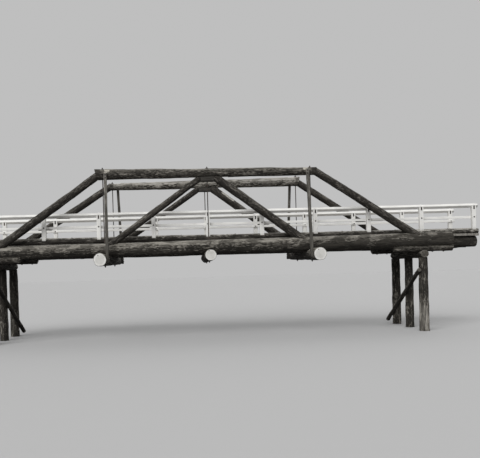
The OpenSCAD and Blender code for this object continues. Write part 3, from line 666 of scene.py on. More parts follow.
# Top chords: mitred on the outer struts, with flats for the block, the plates and the stays
topChord = {
    "grid": {"spacing": 0.027, "columns": 64}, "seed": 7, "skins": {"near": "topLog", "far": "paleLog"},
    "plateHalf": 0.075, "plateFlat": 0.016,
    # hewn flats beside the stays: from, to along the bridge, how far in from round, the length their ends
    # take to run out, and how steeply they look up
    "hewn": {"near": (3.42, 3.57, 0.016, 0.03, 0.62), "far": (3.36, 3.58, 0.020, 0.03, 1.25)},
    "endBark": {"near": 0.60, "far": 0.58},     # length of each end that keeps its bark
    "barkFade": 0.1,
}
stays = {
    "wide": 0.100, "past": 0.290, "footZ": 2.758, "headZ": 5.888, "lap": 0.022,
    "flankCut": {"near": 0.050, "far": 0.020}, "lean": {"near": 0.100, "far": 0.010},
    "room": 0.003, "flankHalf": 0.19,
    "bolts": (0.09, 0.20),      # places of the bolts from a stay's head and foot
    "look": {"arris": 0.009, "spacing": 0.06, "perCorner": 3, "rough": 0.0018, "bow": 0.004, "chipped": 0.007},
}
girders = {
    "half": 2.92, "butt": 0.440, "tip": 0.336, "middle": 0.376, "topLine": 3.068, "middleLift": 0.028,
    "chordBed": 0.21, "stringerBed": 0.13, "stringerY": 0.79, "plateHalf": 0.075, "plateFlat": 0.016,
    "places": {"left": -1, "middle": 0, "right": 1}, "grid": {"spacing": 0.036, "columns": 60}, "seed": 31,
}
stayOut = girders["half"] - stays["past"]


def girderRadius(place, y):
    if place == 0:
        return girders["middle"] / 2
    return taperRadius(girders["butt"], girders["tip"], y, girders["half"])


def girderLine(place):
    return girders["topLine"] + (girders["middleLift"] if place == 0 else 0)


# A stay's axes: its centre at the head, the way it climbs, the way its outer face looks and the way its
# girder face looks. It rakes in towards the truss and leans a little along the bridge
def stayPlace(side, end):
    flankCut, lean = (stays[key][sideNames[side]] for key in ("flankCut", "lean"))
    footX = panel - girderRadius(end, side * stayOut) + flankCut - stays["wide"] / 2
    headOut = trussY + topRadius(side, end * panel) - stays["lap"] + stays["wide"] / 2
    tall = stays["headZ"] - stays["footZ"]
    rake, turn = math.atan2(stayOut - headOut, tall), math.atan2(lean, tall)
    return {"head": np.array([end * (footX + lean), side * headOut, stays["headZ"]]),
            "climb": np.array([end * math.cos(rake) * math.sin(turn), -side * math.sin(rake),
                               math.cos(rake) * math.cos(turn)]),
            "outward": np.array([end * math.sin(rake) * math.sin(turn), side * math.cos(rake),
                                 math.sin(rake) * math.cos(turn)]),
            "along": np.array([end * math.cos(turn), 0, -math.sin(turn)])}


def stayAt(stay, z):
    return stay["head"] - stay["climb"] * (stays["headZ"] - z) / stay["climb"][2]


# The plane of a stay's face that looks the way of n, as the log that it lies on is cut to it
def stayFace(stay, n):
    return [(n, float(n @ stay["head"]) - stays["wide"] / 2)]


def topPlateZ(side, place):
    return topUnder + 2 * topRadius(side, place * panel) - topChord["plateFlat"]


for sideName, side in sides.items():
    y = side * trussY
    kink = bridge["kinkX"][sideName]
    half = kink + bridge["overrun"]
    mitres, heads = [], []
    for endName, end in ends.items():
        outer, inner = (strutOutline(sideName, endName, kind) for kind in ("outer", "inner"))
        mitres.append([sidePlane([math.cos(outer["angle"] / 2), -math.sin(outer["angle"] / 2)], outer["a"], end)])
        heads.append(struts["blockHalf"] + struts["headRoom"] + inner["dTop"] / math.sin(inner["angle"]))
    flat = topUnder + struts["headFlat"]
    cuts = [above(flat, half + (heads[1] - heads[0]) / 2, (heads[0] + heads[1]) / 2)]
    cuts += [below(topPlateZ(side, place), half + place * panel, topChord["plateHalf"]) for place in lanes]
    low, high, deep, run, turn = topChord["hewn"][sideName]
    for end in (-1, 1):
        stay = stayPlace(side, end)
        x = half + stayAt(stay, topUnder + topRadius(side, end * panel))[0]
        cuts.append(cutBy(stayFace(stay, stay["outward"]), x, stays["wide"] / 2 + stays["room"]))
        r = topRadius(side, end * (low + high) / 2)
        cuts.append(hewnFlat([-half, y, topUnder + r], [1, 0, 0], [0, -math.cos(turn), math.sin(turn)], r,
                             *sorted([half + end * low, half + end * high]), deep, run))
    barky, fade = topChord["endBark"][sideName], topChord["barkFade"]
    along = (0, barky - fade, barky, 2 * half - barky, 2 * half - barky + fade, 99)
    shape = levelLog(half, y, topUnder, topRadius(side, -kink), topRadius(side, kink), topChord["seed"] + side,
                     cuts, endPlanes=mitres, look={**logs, "barkAlong": (along, (1, 1, 0, 0, 1, 1))},
                     **topChord["grid"])
    makePiece(sideName + "_top_chord_log", [shape], (topChord["skins"][sideName], "logEnd"),
              sideName + "_top_chord")
print("top chords: made")

for sideName, side in sides.items():
    for endName, end in ends.items():
        for kind, seed in struts["seeds"].items():
            o = strutOutline(sideName, endName, kind)
            y = side * trussY
            start = o["a"] - bridge["overrun"] * o["down"] + o["dTop"] / 2 * o["up"]
            finish = o["b"] + bridge["overrun"] * o["down"] + o["dFoot"] / 2 * o["up"]
            foot = [sidePlane(o["down"], o["step"]), sidePlane(-o["seatUp"], o["step"])]
            if kind == "outer":
                head = [sidePlane([-math.cos(o["angle"] / 2), math.sin(o["angle"] / 2)], o["a"])]
            else:
                head = [sidePlane([-1, 0], o["a"]), sidePlane([0, 1], [0, topUnder + struts["headFlat"]])]
            cuts = []
            if (sideName, endName, kind) == ("far", "right", "inner"):
                low, high, deep, run, turn = struts["scar"]
                r = lerp(o["dTop"], o["dFoot"], low / np.linalg.norm(finish - start)) / 2
                n = [math.sin(turn) * o["up"][0], -math.cos(turn), math.sin(turn) * o["up"][1]]
                cuts = [hewnFlat([start[0], y, start[1]], [o["down"][0], 0, o["down"][1]], n, r, low, high,
                                 deep, run)]
            shape = logShape([start[0], y, start[1]], [finish[0], y, finish[1]], o["dTop"] / 2, o["dFoot"] / 2,
                             seed + side + 3 * end, cuts, (head, foot), **struts["grid"])
            node = "_".join((sideName, endName, kind, "strut"))
            makePiece(node + "_log", [atEnd(end, shape)], ("strut", "logEnd"), node)
print("struts: made")

for name, place in girders["places"].items():
    half, line, x = girders["half"], girderLine(place), place * panel
    near, far = girderRadius(place, -half), girderRadius(place, half)
    cuts = []
    for side in (-1, 1):
        centre = half + side * trussY
        under = line - 2 * girderRadius(place, side * trussY) + girders["plateFlat"]
        cuts += [below(bridge["girderSeat"], centre, girders["chordBed"]), above(under, centre, girders["plateHalf"])]
        if place:
            stay = stayPlace(side, place)
            cuts.append(cutBy(stayFace(stay, -stay["along"]), half + side * stayOut, stays["flankHalf"]))
    cuts += [below(bridge["stringerSeat"], half + lane * girders["stringerY"], girders["stringerBed"])
             for lane in lanes]
    shape = logShape([x, -half, line - near], [x, half, line - far], near, far, girders["seed"] + place, cuts,
                     rim=0.008, **girders["grid"])
    makePiece(name + "_cross_girder_log", [shape], ("chord", "paintedEnd"), name + "_cross_girder")
print("girders: made")

# Piers
piers = {
    "pile": 0.165, "middleShare": 0.93, "flare": 1.06, "taper": 0.97, "pileTop": 2.636, "pileBed": 0.18,
    "capRadius": 0.142, "capZ": 2.756, "capHalf": 1.69, "capBed": 0.114, "bearerLow": 2.874, "bearerHalf": 1.006,
    "corbelHalf": {"near": 1.09, "far": 0.98}, "corbelRadius": 0.135, "corbelTaper": 0.96, "corbelZ": 2.971,
    "corbelSeat": 2.858, "bevel": 0.04, "corbelBolts": (0.35, 0.75),
    "braceHigh": (-1.69, 2.19), "braceLow": (1.98, 0.16), "braceRadius": 0.08, "braceTaper": 0.94,
    "braceX": 7.44455, "braceFace": 7.51655, "braceBed": 0.19,
    "pileGrid": {"spacing": 0.032, "columns": 48}, "braceGrid": {"spacing": 0.036, "columns": 36},
}
(highY, highZ), (lowY, lowZ) = piers["braceHigh"], piers["braceLow"]


def braceZ(y):
    return lerp(highZ, lowZ, (y - highY) / (lowY - highY))


for endName, end in ends.items():
    shapes = []
    for lane in lanes:
        y = lane * trussY
        r = piers["pile"] * (piers["middleShare"] if lane == 0 else 1)
        cuts = [cutBy([plane([-1, 0, 0], [piers["braceFace"], 0, 0])], braceZ(y), piers["braceBed"])]
        shapes.append(atEnd(end, logShape([pierX, y, 0], [pierX, y, piers["pileTop"]], r * piers["flare"],
                                          r * piers["taper"], 41 + lane + 4 * end, cuts, upward=(1, 0, 0),
                                          **piers["pileGrid"])))
    makePiece(endName + "_pile_logs", shapes, ("pile", "logEnd"), endName + "_piles")

    half, r, x = piers["capHalf"], piers["capRadius"], end * pierX
    cuts = [above(piers["pileTop"], half + lane * trussY, piers["pileBed"]) for lane in lanes]
    cuts += [below(piers["corbelSeat"], half + side * trussY, r) for side in (-1, 1)]
    cuts += [below(piers["bearerLow"], half, piers["bearerHalf"])]
    shape = logShape([x, -half, piers["capZ"]], [x, half, piers["capZ"]], r, r, 53 + end, cuts)
    makePiece(endName + "_headstock_log", [shape], ("chord", "logEnd"), endName + "_headstock")

    for sideName, side in sides.items():
        y, z, half, r = side * trussY, piers["corbelZ"], piers["corbelHalf"][sideName], piers["corbelRadius"]
        tips = [[sidePlane([way, 0], [pierX + way * half, 0]),
                 sidePlane([way * r, -piers["bevel"]], [pierX + way * half, z])] for way in (-1, 1)]
        cuts = [below(bridge["corbelTop"]), above(piers["corbelSeat"], half, piers["capBed"])]
        shape = logShape([pierX - half, y, z], [pierX + half, y, z], r, r * piers["corbelTaper"],
                         61 + side + 3 * end, cuts, tips)
        node = "_".join((sideName, endName, "corbel"))
        makePiece(node + "_log", [atEnd(end, shape)], ("corbel", "logEnd"), node)

    shape = logShape([piers["braceX"], highY, highZ], [piers["braceX"], lowY, lowZ],
                     piers["braceRadius"] * piers["braceTaper"], piers["braceRadius"], 71 + end,
                     [cutBy([plane([1, 0, 0], [piers["braceFace"], 0, 0])])], **piers["braceGrid"])
    makePiece(endName + "_sway_brace_pole", [atEnd(end, shape)], ("brace", "logEnd"),
              endName + "_sway_brace")
print("piers: made")

# Deck stringers: logs adzed flat on top, checked over the girders and the bearers
stringers = {
    "radius": 0.206, "taper": 0.97, "z": 3.182, "bearerHalf": 0.115, "room": 0.010,
    "grid": {"spacing": 0.06, "columns": 40}, "seeds": {"span": 83, "approach": 97},
}
gap, room = bridge["joint"], stringers["room"]
girderSeats = [(x, lowerChord["girderBed"] + room) for x in (0, panel)]
bearerSeat = (pierX, stringers["bearerHalf"] + room)
for name, sidesOfIt, x0, x1, seats, seed in (
        ("span", (-1, 1), gap, pierX - gap, girderSeats + [bearerSeat], stringers["seeds"]["span"]),
        ("left_approach", (-1,), pierX + gap, deckHalf, [bearerSeat], stringers["seeds"]["approach"]),
        ("right_approach", (1,), pierX + gap, deckHalf, [bearerSeat], stringers["seeds"]["approach"])):
    shapes = []
    for end in sidesOfIt:
        for lane in lanes:
            y, z, r = lane * girders["stringerY"], stringers["z"], stringers["radius"]
            cuts = [below(deckUnder)] + [above(bridge["stringerSeat"], x - x0, bed) for x, bed in seats]
            shapes.append(atEnd(end, logShape([x0, y, z], [x1, y, z], r, r * stringers["taper"],
                                              seed + lane + 5 * end, cuts, **stringers["grid"])))
    makePiece(name + "_stringer_logs", shapes, ("strut", "logEnd"), name + "_stringers")
print("stringers: made")


# Outline of a sawn timber, clockwise from the top: four sides with rounded or bevelled arrises
def timberOutline(wide, deep, arrises, perSide, perCorner):
    parts = []
    for q in range(4):
        n = np.array([math.sin(q * math.pi / 2), math.cos(q * math.pi / 2)])
        t = np.array([n[1], -n[0]])
        half, far = (wide / 2, deep / 2) if q % 2 == 0 else (deep / 2, wide / 2)
        before, after = arrises[q - 1], arrises[q]
        u = np.linspace(-half + before, half - after, perSide + 1)[:, None]
        phi = (q + np.arange(1, perCorner + 1)[:, None] / (perCorner + 1)) * math.pi / 2
        out = np.concatenate([np.sin(phi), np.cos(phi)], 1)
        parts.append((n * far + t * u, n + 0 * u, 0 * u[:, 0]))
        parts.append((n * (far - after) + t * (half - after) + after * out, out, 1 + 0 * phi[:, 0]))
    return [np.concatenate(column) for column in zip(*parts)]


timbers = {
    # waves of the saw's ripples and of the wear: count, fewest and most round the timber, how tight along it
    "rippleWaves": (8, 1, 9, 5.0), "wornWaves": (8, 1, 6, 9.0),
    "wornFrom": 0.4, "wornFull": 2.0,       # where in its waves the wear begins, and where it is deepest
}


# A sawn timber: its outline, with sides that ripple by the saw, a bow along it and arrises that are
# worn deeper in places
def timberShape(start, finish, wide, deep, seed, arris=0.006, upward=(0, 0, 1), spacing=0.12, perSide=4,
                perCorner=2, rough=0.0012, bow=0.0, chipped=0.004, endPlanes=(None, None), rim=0.003, rings=3):
    path = pathBetween(start, finish, upward)
    outline, normals, corner = timberOutline(wide, deep, np.full(4, arris), perSide, perCorner)
    columns = len(outline)
    phase = np.random.default_rng(2000 + seed).uniform(0, 2 * math.pi)

    def section(k, s):
        turn = 2 * math.pi * k / columns
        ripple = rough * lengthwise(turn, s, 300 + seed, *timbers["rippleWaves"])
        worn = smooth(timbers["wornFrom"], timbers["wornFull"],
                      lengthwise(turn, s, 400 + seed, *timbers["wornWaves"]))
        off = ripple - chipped * corner[k] * worn - rough
        sway = bow * np.sin(math.pi * s / path["reach"])
        a = outline[k, 0] + normals[k, 0] * off + sway * math.sin(phase)
        b = outline[k, 1] + normals[k, 1] * off + sway * math.cos(phase)
        facing = normals[k, 1] * path["up"][2] + normals[k, 0] * path["side"][2]
        return a, b, np.stack([corner[k] + 0 * s, 0 * off, 0 * off, facing + 0 * s], -1)
    return carried(path, section, columns, spacing, endPlanes, seed, (), rim, rings, 0)


# Straining blocks, stays and bearers
block = {
    "low": 5.528, "high": 5.686, "wide": 0.230, "arrises": (0.004, 0.024, 0.024, 0.004),
    "look": {"spacing": 0.05, "perCorner": 0, "rough": 0.002},
}
bearer = {"low": 2.874, "high": 3.042, "wide": 0.230, "half": 0.996, "spacing": 0.08}
z, deep, half = (block["low"] + block["high"]) / 2, block["high"] - block["low"], struts["blockHalf"]
shapes = [timberShape([-half, side * trussY, z], [half, side * trussY, z], block["wide"], deep, 5 + side,
                      block["arrises"], **block["look"]) for side in (-1, 1)]
makePiece("straining_block_timbers", shapes, ["block"], "straining_blocks", 30)

for sideName, side in sides.items():
    for endName, end in ends.items():
        stay = stayPlace(side, end)
        level = [[plane([0, 0, way], [0, 0, stays[key]])] for way, key in ((-1, "footZ"), (1, "headZ"))]
        shape = timberShape(stayAt(stay, stays["footZ"]), stay["head"], stays["wide"], stays["wide"],
                            60 + 2 * side + end, upward=stay["along"], endPlanes=level, **stays["look"])
        node = "_".join((sideName, endName, "stay"))
        makePiece(node + "_timber", [shape], ["timber"], node, 50)

z, deep, half = (bearer["low"] + bearer["high"]) / 2, bearer["high"] - bearer["low"], bearer["half"]
shapes = [timberShape([end * pierX, -half, z], [end * pierX, half, z], bearer["wide"], deep, 75 + end,
                      spacing=bearer["spacing"]) for end in (-1, 1)]
makePiece("deck_bearer_timbers", shapes, ["timber"], "deck_bearers", 30)
print("blocks, stays and bearers: made")

# Deck planks, laid across with open joints, each a little different in width, height and length
planks = {
    "narrow": 0.17, "broad": 0.26, "gap": 0.009, "ragged": 0.022, "dip": 0.004,
    "look": {"arris": 0.007, "spacing": 0.16, "perSide": 3, "perCorner": 1, "rough": 0.0016, "chipped": 0.005,
             "rings": 2},
    "nail": 0.008, "nailIn": 0.045, "nailProud": 0.0015,    # radius, place from a plank's edge, height
    "nailWander": 0.02,     # how far a nail is out of line
    "seed": 11, "nailSeed": 12,
}
plankRandom, nailRandom = (np.random.default_rng(planks[key]) for key in ("seed", "nailSeed"))
nailPlaces = []
for name in ("span_deck", "left_approach_deck", "right_approach_deck"):
    low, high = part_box(name)
    count = int(round((high.x - low.x) / ((planks["narrow"] + planks["broad"]) / 2)))
    widths = plankRandom.uniform(planks["narrow"], planks["broad"], count)
    edges = low.x + np.concatenate([[0], np.cumsum(widths)]) * (high.x - low.x) / widths.sum()
    shapes = []
    for i, (before, after) in enumerate(zip(edges[:-1], edges[1:])):
        trim = plankRandom.uniform(0, planks["ragged"], 2)
        dip = plankRandom.uniform(0, planks["dip"])
        wide = after - before - planks["gap"] * plankRandom.uniform(0.6, 1.4)
        x, deep = (before + after) / 2, deckTop - deckUnder - dip
        z = deckUnder + deep / 2
        for lane in lanes:
            for edge in (-1, 1):
                off = nailRandom.uniform(-1, 1, 2) * planks["nailWander"]
                nailPlaces.append([x + edge * (wide / 2 - planks["nailIn"]) + off[0] / 2,
                                   lane * girders["stringerY"] + off[1], deckTop - dip])
        shapes.append(timberShape([x, -deckY + trim[0], z], [x, deckY - trim[1], z], wide, deep,
                                  500 + i * 7 + count, **planks["look"]))
    makePiece(name + "_planks", shapes, ["plank"], name, 50)
print("planks: made")

# Kerb logs, flat on the planks and notched for the posts
railing = {
    "bay": 1.95, "posts": 5, "y": 1.04, "post": 0.146, "foot": 3.608, "railZ": 4.481, "rail": 0.115,
    "midZ": 4.066, "midHigh": 0.094, "midThick": 0.046, "midY": 0.944, "butt": 0.002,
    "firstJoint": {"near": -4, "far": -3},      # the rails come in lengths of two bays that butt over a post
    "look": {"arris": 0.008, "perCorner": 3, "rough": 0.001}, "postSpacing": 0.08,
    "midLook": {"arris": 0.005, "rough": 0.0008, "chipped": 0.003},
    "kerbTip": 0.200, "kerbButt": 0.248, "kerbZ": 3.461, "postRoom": 0.001, "kerbSeed": 107,
    "kerbGrid": {"spacing": 0.05, "columns": 36},
    "kerbBark": {"near": ((0, 16.9, 17.7, 99), (0, 0, -1, -1)), "far": ((0, 99), (0, 0))},
}
railHalf = railing["rail"] / math.sqrt(2)
notchZ = railing["railZ"] - railHalf
postPlaces = [i * railing["bay"] for i in range(-railing["posts"], railing["posts"] + 1)]


def kerbRadius(side, x):
    return taperRadius(railing["kerbTip"], railing["kerbButt"], side * x, deckHalf)


for sideName, side in sides.items():
    y = side * railing["y"]
    cuts = [above(deckTop)]
    cuts += [below(railing["foot"], deckHalf + x, railing["post"] / 2 + railing["postRoom"]) for x in postPlaces]
    shape = levelLog(deckHalf, y, railing["kerbZ"], kerbRadius(side, -deckHalf), kerbRadius(side, deckHalf),
                     railing["kerbSeed"] + side, cuts, look={**logs, "barkAlong": railing["kerbBark"][sideName]},
                     **railing["kerbGrid"])
    makePiece(sideName + "_kerb_log", [shape], ("kerb", "logEnd"), sideName + "_kerb")
print("kerbs: made")


# The post's top is a vee that the rail lies in: its height rises with the distance from the centre line
def veeTop(a, b):
    return notchZ - railing["foot"] + np.abs(b) + 0 * a


for sideName, side in sides.items():
    y, midY, seed = side * railing["y"], side * railing["midY"], 20 * side
    posts = [timberShape([x, y, railing["foot"]], [x, y, notchZ], railing["post"], railing["post"], 700 + seed + i,
                         upward=(0, 1, 0), spacing=railing["postSpacing"], endPlanes=(None, veeTop),
                         **railing["look"]) for i, x in enumerate(postPlaces)]
    makePiece(sideName + "_railing_posts", posts, ["paint"], sideName + "_posts", 50)

    joints = [i * railing["bay"] for i in range(railing["firstJoint"][sideName], railing["posts"], 2)]
    starts = [-deckHalf] + [x + railing["butt"] for x in joints]
    stops = [x - railing["butt"] for x in joints] + [deckHalf]
    topRails, midRails = [], []
    for i, (x0, x1) in enumerate(zip(starts, stops)):
        topRails.append(timberShape([x0, y, railing["railZ"]], [x1, y, railing["railZ"]], railing["rail"],
                                    railing["rail"], 800 + seed + i, upward=(0, 1, 1), **railing["look"]))
        midRails.append(timberShape([x0, midY, railing["midZ"]], [x1, midY, railing["midZ"]],
                                    railing["midThick"], railing["midHigh"], 860 + seed + i,
                                    **railing["midLook"]))
    makePiece(sideName + "_top_rail_timbers", topRails, ["paint"], sideName + "_top_rail", 50)
    makePiece(sideName + "_middle_rail_boards", midRails, ["paint"], sideName + "_middle_rail", 50)
print("railings: made")


# A shape of iron, which needs no grain and no wear of its own
def ironShape(points, quads, tris, quadSkin):
    return {"points": points, "grain": points, "wear": np.zeros((len(points), 4)), "quads": quads, "tris": tris,
            "quadSkin": quadSkin, "triSkin": np.zeros(len(tris), int)}


# A profile of radii and heights turned about an axis: point = place + height·axis + radius·(cos, sin). Six
# columns make a hexagon nut
def turned(place, axis, radii, heights, columns):
    axis = unit(axis)
    path = pathBetween(place, np.asarray(place, float) + axis, (0, 0, 1) if abs(axis[2]) < 0.9 else (1, 0, 0))
    turn = 2 * math.pi * (np.arange(columns) + 0.5) / columns
    ring = np.cos(turn)[:, None] * path["up"] + np.sin(turn)[:, None] * path["side"]
    climb = path["start"] + np.asarray(heights, float)[:, None] * path["along"]
    points = climb[:, None] + np.asarray(radii, float)[:, None, None] * ring
    quads, tris = ringFaces(len(radii), columns)
    return ironShape(np.concatenate([points.reshape(-1, 3), climb[[0, -1]]]), quads, tris, np.zeros(len(quads), int))


# Tie rods with cut threads, hexagon nuts and square plates
rods = {
    "radius": 0.017, "past": 0.030, "columns": 16, "nut": 0.033, "nutHigh": 0.030, "nutBevel": 0.003,
    "nutFace": 0.9,         # radius of a nut's face in shares of the nut's
    "plate": 0.130, "plateThick": 0.012, "thread": 0.058, "pitch": 0.005, "threadDeep": 0.0016,
    "plateLook": {"spacing": 0.006, "perSide": 6, "rough": 0.0005, "chipped": 0.002, "rim": 0.0015},
}


# Radii and heights of a rod: ridges of the thread rise and fall by turns near both ends
def rodProfile(low, high):
    count = int(rods["thread"] / rods["pitch"]) * 2 + 1
    climb = np.linspace(0, rods["thread"], count)
    ridge = rods["radius"] - rods["threadDeep"] * (np.arange(count) % 2)
    return np.concatenate([ridge, ridge[::-1]]), np.concatenate([low + climb, high - climb[::-1]])


rodShapes, plateShapes = [], []
thick, tall, bevel = rods["plateThick"], rods["nutHigh"], rods["nutBevel"]
nutRadii = rods["nut"] * np.array([rods["nutFace"], 1, 1, rods["nutFace"]])
for side in (-1, 1):
    for place in lanes:
        x, y = place * panel, side * trussY
        low = girderLine(place) - 2 * girderRadius(place, y) + girders["plateFlat"] - thick
        high = topPlateZ(side, place)
        profile = rodProfile(low - tall - rods["past"], high + thick + tall + rods["past"])
        rodShapes.append(turned([x, y, 0], [0, 0, 1], *profile, rods["columns"]))
        rodShapes += [turned([x, y, z], [0, 0, 1], nutRadii, [0, bevel, tall - bevel, tall], 6)
                      for z in (low - tall, high + thick)]
        plateShapes += [timberShape([x, y, z], [x, y, z + thick], rods["plate"], rods["plate"],
                                    900 + place + 3 * side, upward=(1, 0, 0), **rods["plateLook"])
                        for z in (low, high)]
makePiece("tie_rods_and_nuts", rodShapes, ["iron"], "tie_rods", 30)
makePiece("nut_plates", plateShapes, ["iron"], "rod_plates", 30)

fixings = {
    "strapWide": 0.045, "strapThick": 0.006, "strapDown": 0.12, "strapOff": 0.0002, "strapBolt": 0.085,
    "boltRadius": 0.017, "boltHigh": 0.011, "washer": 0.027, "washerHigh": (0.003, 0.004), "sunk": 0.004,
    "dome": 0.6, "boltColumns": 10,
    # sizes of the bolts in shares of the usual one, which is that through a post
    "size": {"strap": 0.7, "board": 0.8, "kerb": 1.1, "stay": 1.2, "corbel": 1.4, "brace": 1.4},
    "kerbPlace": 0.5, "kerbSunk": 0.02,     # place in each bay
    "intoLog": {"corbel": 0.98, "brace": 0.97},     # a bolt's seat in shares of the log's radius
    "nailFace": 0.75, "nailRim": 0.3, "nailSunk": 0.006,    # shares of a nail's radius and height
    "spike": {"radius": 0.016, "up": 0.142, "aside": -0.055, "proud": 0.0006},
}
bolts = fixings["size"]


# An iron strap: a flat bar bent over the rail and down both faces of the post, as a section carried along
# a bent path with its corners mitred. It is painted with the rail, and bare on the posts
def strapShape(line, x, wide, thick):
    line = np.asarray(line, float)
    runs = np.diff(line, axis=0)
    runs = runs / np.linalg.norm(runs, axis=1)[:, None]
    normals = np.stack([-runs[:, 1], runs[:, 0]], -1)
    mitre = np.concatenate([normals[:1], normals[:-1] + normals[1:], normals[-1:]])
    share = np.concatenate([normals[:1], normals[1:], normals[-1:]])
    outer = line + mitre / np.sum(mitre * share, 1)[:, None] * thick
    rows = len(line)
    points = np.zeros((rows, 4, 3))
    points[:, :, 0] = x + wide / 2 * np.array([-1, -1, 1, 1])
    points[:, :, 1:] = np.stack([line, outer, outer, line], 1)
    last = (rows - 1) * 4
    quads = np.concatenate([ringFaces(rows, 4)[0], [[3, 2, 1, 0], [last, last + 1, last + 2, last + 3]]])
    quadSkin = np.array([0] * 4 + [1] * 4 * (rows - 3) + [0] * 6)
    return ironShape(points.reshape(-1, 3), quads, np.zeros((0, 3), int), quadSkin)


# A bolt head on a washer, domed, standing out along the axis
def boltShape(place, axis, scale=1.0, sunk=fixings["sunk"]):
    r, high, washer = (scale * fixings[key] for key in ("boltRadius", "boltHigh", "washer"))
    edge, seat = fixings["washerHigh"]
    return turned(place, axis, [washer, washer, r, r, fixings["dome"] * r],
                  [-sunk, edge, seat, high, high + seat], fixings["boltColumns"])


# A nail or spike driven home: a disc that stands a hair proud, with a bevelled rim
def nailShape(place, axis, radius, proud, columns):
    return turned(place, axis, [radius, radius, fixings["nailFace"] * radius],
                  [-fixings["nailSunk"], fixings["nailRim"] * proud, proud], columns)


ironwork = []
shoulder = notchZ + railing["post"] / 2
face = railing["post"] / 2 + fixings["strapOff"]
for side in (-1, 1):
    y = side * railing["y"]
    half = [(face, shoulder - fixings["strapDown"]), (face, shoulder), (railHalf, railing["railZ"])]
    line = [(y - out, z) for out, z in half] + [(y, railing["railZ"] + railHalf)]
    line += [(y + out, z) for out, z in half[::-1]]
    for x in postPlaces:
        ironwork.append(strapShape(line, x, fixings["strapWide"], fixings["strapThick"]))
        ironwork += [boltShape([x, y + out * (face + fixings["strapThick"]), shoulder - fixings["strapBolt"]],
                               [0, out, 0], bolts["strap"]) for out in (-1, 1)]
        ironwork.append(boltShape([x, y + side * face, railing["midZ"]], [0, side, 0]))
        ironwork.append(boltShape([x, side * (railing["midY"] - railing["midThick"] / 2), railing["midZ"]],
                                  [0, -side, 0], bolts["board"]))
    for x in postPlaces[:-1]:
        middle = x + fixings["kerbPlace"] * railing["bay"]
        top = railing["kerbZ"] + 2 * kerbRadius(side, middle) - fixings["sunk"]
        ironwork.append(boltShape([middle, y, top], [0, 0, 1], bolts["kerb"], fixings["kerbSunk"]))
makePiece("railing_straps_and_bolts", ironwork, ("iron", "paint"), None, 30)

nails = [nailShape(place, [0, 0, 1], planks["nail"], planks["nailProud"], 6) for place in nailPlaces]
makePiece("deck_nails", nails, ["iron"], None, 30)

ironwork = []
for side in (-1, 1):
    for end in (-1, 1):
        stay = stayPlace(side, end)
        for drop in stays["bolts"]:
            for z, n in ((stays["headZ"] - drop, stay["outward"]), (stays["footZ"] + drop, -stay["along"])):
                ironwork.append(boltShape(stayAt(stay, z) + n * stays["wide"] / 2, n, bolts["stay"]))
        z = piers["corbelZ"] - piers["corbelRadius"] * fixings["intoLog"]["corbel"]
        ironwork += [boltShape([end * (pierX + way * off), side * trussY, z], [0, 0, -1], bolts["corbel"])
                     for way in (-1, 1) for off in piers["corbelBolts"]]
x = piers["braceX"] - piers["braceRadius"] * fixings["intoLog"]["brace"]
ironwork += [boltShape([end * x, lane * trussY, braceZ(lane * trussY)], [-end, 0, 0], bolts["brace"])
             for end in (-1, 1) for lane in lanes]
spike = fixings["spike"]
for place in girders["places"].values():
    radii = [girderRadius(place, side * girders["half"]) for side in (-1, 1)]
    tilt = (radii[0] - radii[1]) / (2 * girders["half"])        # a tapered log's ends lean
    for side, r in zip((-1, 1), radii):
        where = [place * panel + spike["aside"], side * girders["half"] - tilt * spike["up"],
                 girderLine(place) - r + spike["up"]]
        ironwork.append(nailShape(where, [0, side, 0], spike["radius"], spike["proud"], fixings["boltColumns"]))
makePiece("frame_bolts", ironwork, ["iron"], None, 30)
print("ironwork: made")

# Camera at the photograph's place
camera = {
    "place": (-0.8397, -24.0344, 2.4448), "yaw": 0.0421, "pitch": -0.0104, "roll": -0.0296,
    "focalPixels": 637.84, "imageWidth": 480, "shift": (0.0563, 0.0967), "sensor": 36, "farthest": 500,
}


def addCamera():
    yaw, pitch, roll = camera["yaw"], camera["pitch"], camera["roll"]
    forward = np.array([math.sin(yaw) * math.cos(pitch), math.cos(yaw) * math.cos(pitch), math.sin(pitch)])
    level = np.array([math.cos(yaw), -math.sin(yaw), 0])
    high = np.cross(level, forward)
    right = math.cos(roll) * level + math.sin(roll) * high
    up = math.cos(roll) * high - math.sin(roll) * level
    data = bpy.data.cameras.new("camera")
    data.sensor_width = camera["sensor"]
    data.lens = camera["focalPixels"] / camera["imageWidth"] * data.sensor_width
    data.shift_x, data.shift_y = camera["shift"]
    data.clip_end = camera["farthest"]
    thing = bpy.data.objects.new("camera", data)
    turn = Matrix(np.array([right, up, -forward]).T.tolist()).to_4x4()
    thing.matrix_world = Matrix.Translation(camera["place"]) @ turn
    bpy.context.scene.collection.objects.link(thing)
    bpy.context.scene.camera = thing


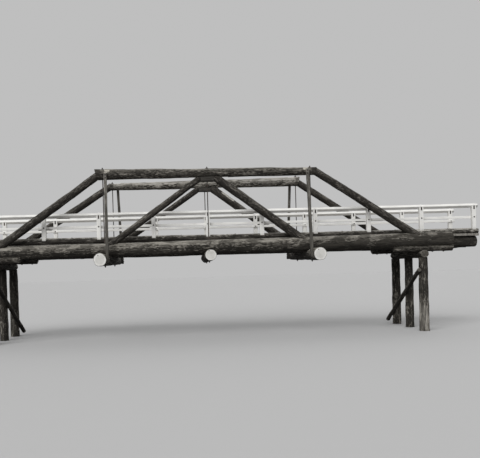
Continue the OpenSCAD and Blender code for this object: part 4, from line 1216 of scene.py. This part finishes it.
addCamera()

# Pale floor and backdrop, and soft light from the upper left
studio = {
    "floor": 0.52, "floorBounce": 0.16, "back": 0.52, "world": 0.46, "half": 160,
    "sun": {"energy": 2.2, "soft": 50, "from": (-0.40, -0.78, 0.60)},
    "fill": {"energy": 0.6, "soft": 70, "from": (0.5, 0.8, 0.5)},
}


def addStudio():
    scene = bpy.context.scene
    scene.view_settings.view_transform = "Standard"
    scene.world = bpy.data.worlds.new("studio")
    scene.world.use_nodes = True
    tree = scene.world.node_tree
    seen = addNode(tree, "LightPath", {})
    shown = seen.output("Is Camera Ray").maths("MAXIMUM", seen.output("Is Glossy Ray"))
    shown = shown.maths("MAXIMUM", seen.output("Is Transmission Ray"))
    background = tree.nodes["Background"]
    background.inputs["Color"].default_value = (1, 1, 1, 1)
    level = addNode(tree, "MapRange", {"Value": shown, "To Min": studio["world"], "To Max": studio["back"]})
    tree.links.new(level.socket, background.inputs["Strength"])
    for name in ("sun", "fill"):
        data = bpy.data.lights.new(name, "SUN")
        data.energy = studio[name]["energy"]
        data.angle = math.radians(studio[name]["soft"])
        lamp = bpy.data.objects.new(name, data)
        lamp.rotation_mode = "QUATERNION"
        lamp.rotation_quaternion = Vector(studio[name]["from"]).to_track_quat("Z", "Y")
        scene.collection.objects.link(lamp)

    half = studio["half"]
    mesh = bpy.data.meshes.new("floor")
    mesh.from_pydata([(-half, -half, 0), (half, -half, 0), (half, half, 0), (-half, half, 0)], [], [(0, 1, 2, 3)])
    floor = bpy.data.objects.new("floor", mesh)
    scene.collection.objects.link(floor)
    material, tree = newMaterial("pale_floor", 0.9, 0.1)
    level = addNode(tree, "MapRange", {"Value": addNode(tree, "LightPath", {}).output("Is Camera Ray"),
                                       "To Min": studio["floorBounce"], "To Max": studio["floor"]})
    grey = addNode(tree, "CombineXYZ", {0: level, 1: level, 2: level})
    tree.links.new(grey.socket, tree.nodes["Principled BSDF"].inputs["Base Color"])
    mesh.materials.append(material)


addStudio()
print("camera and studio: made")
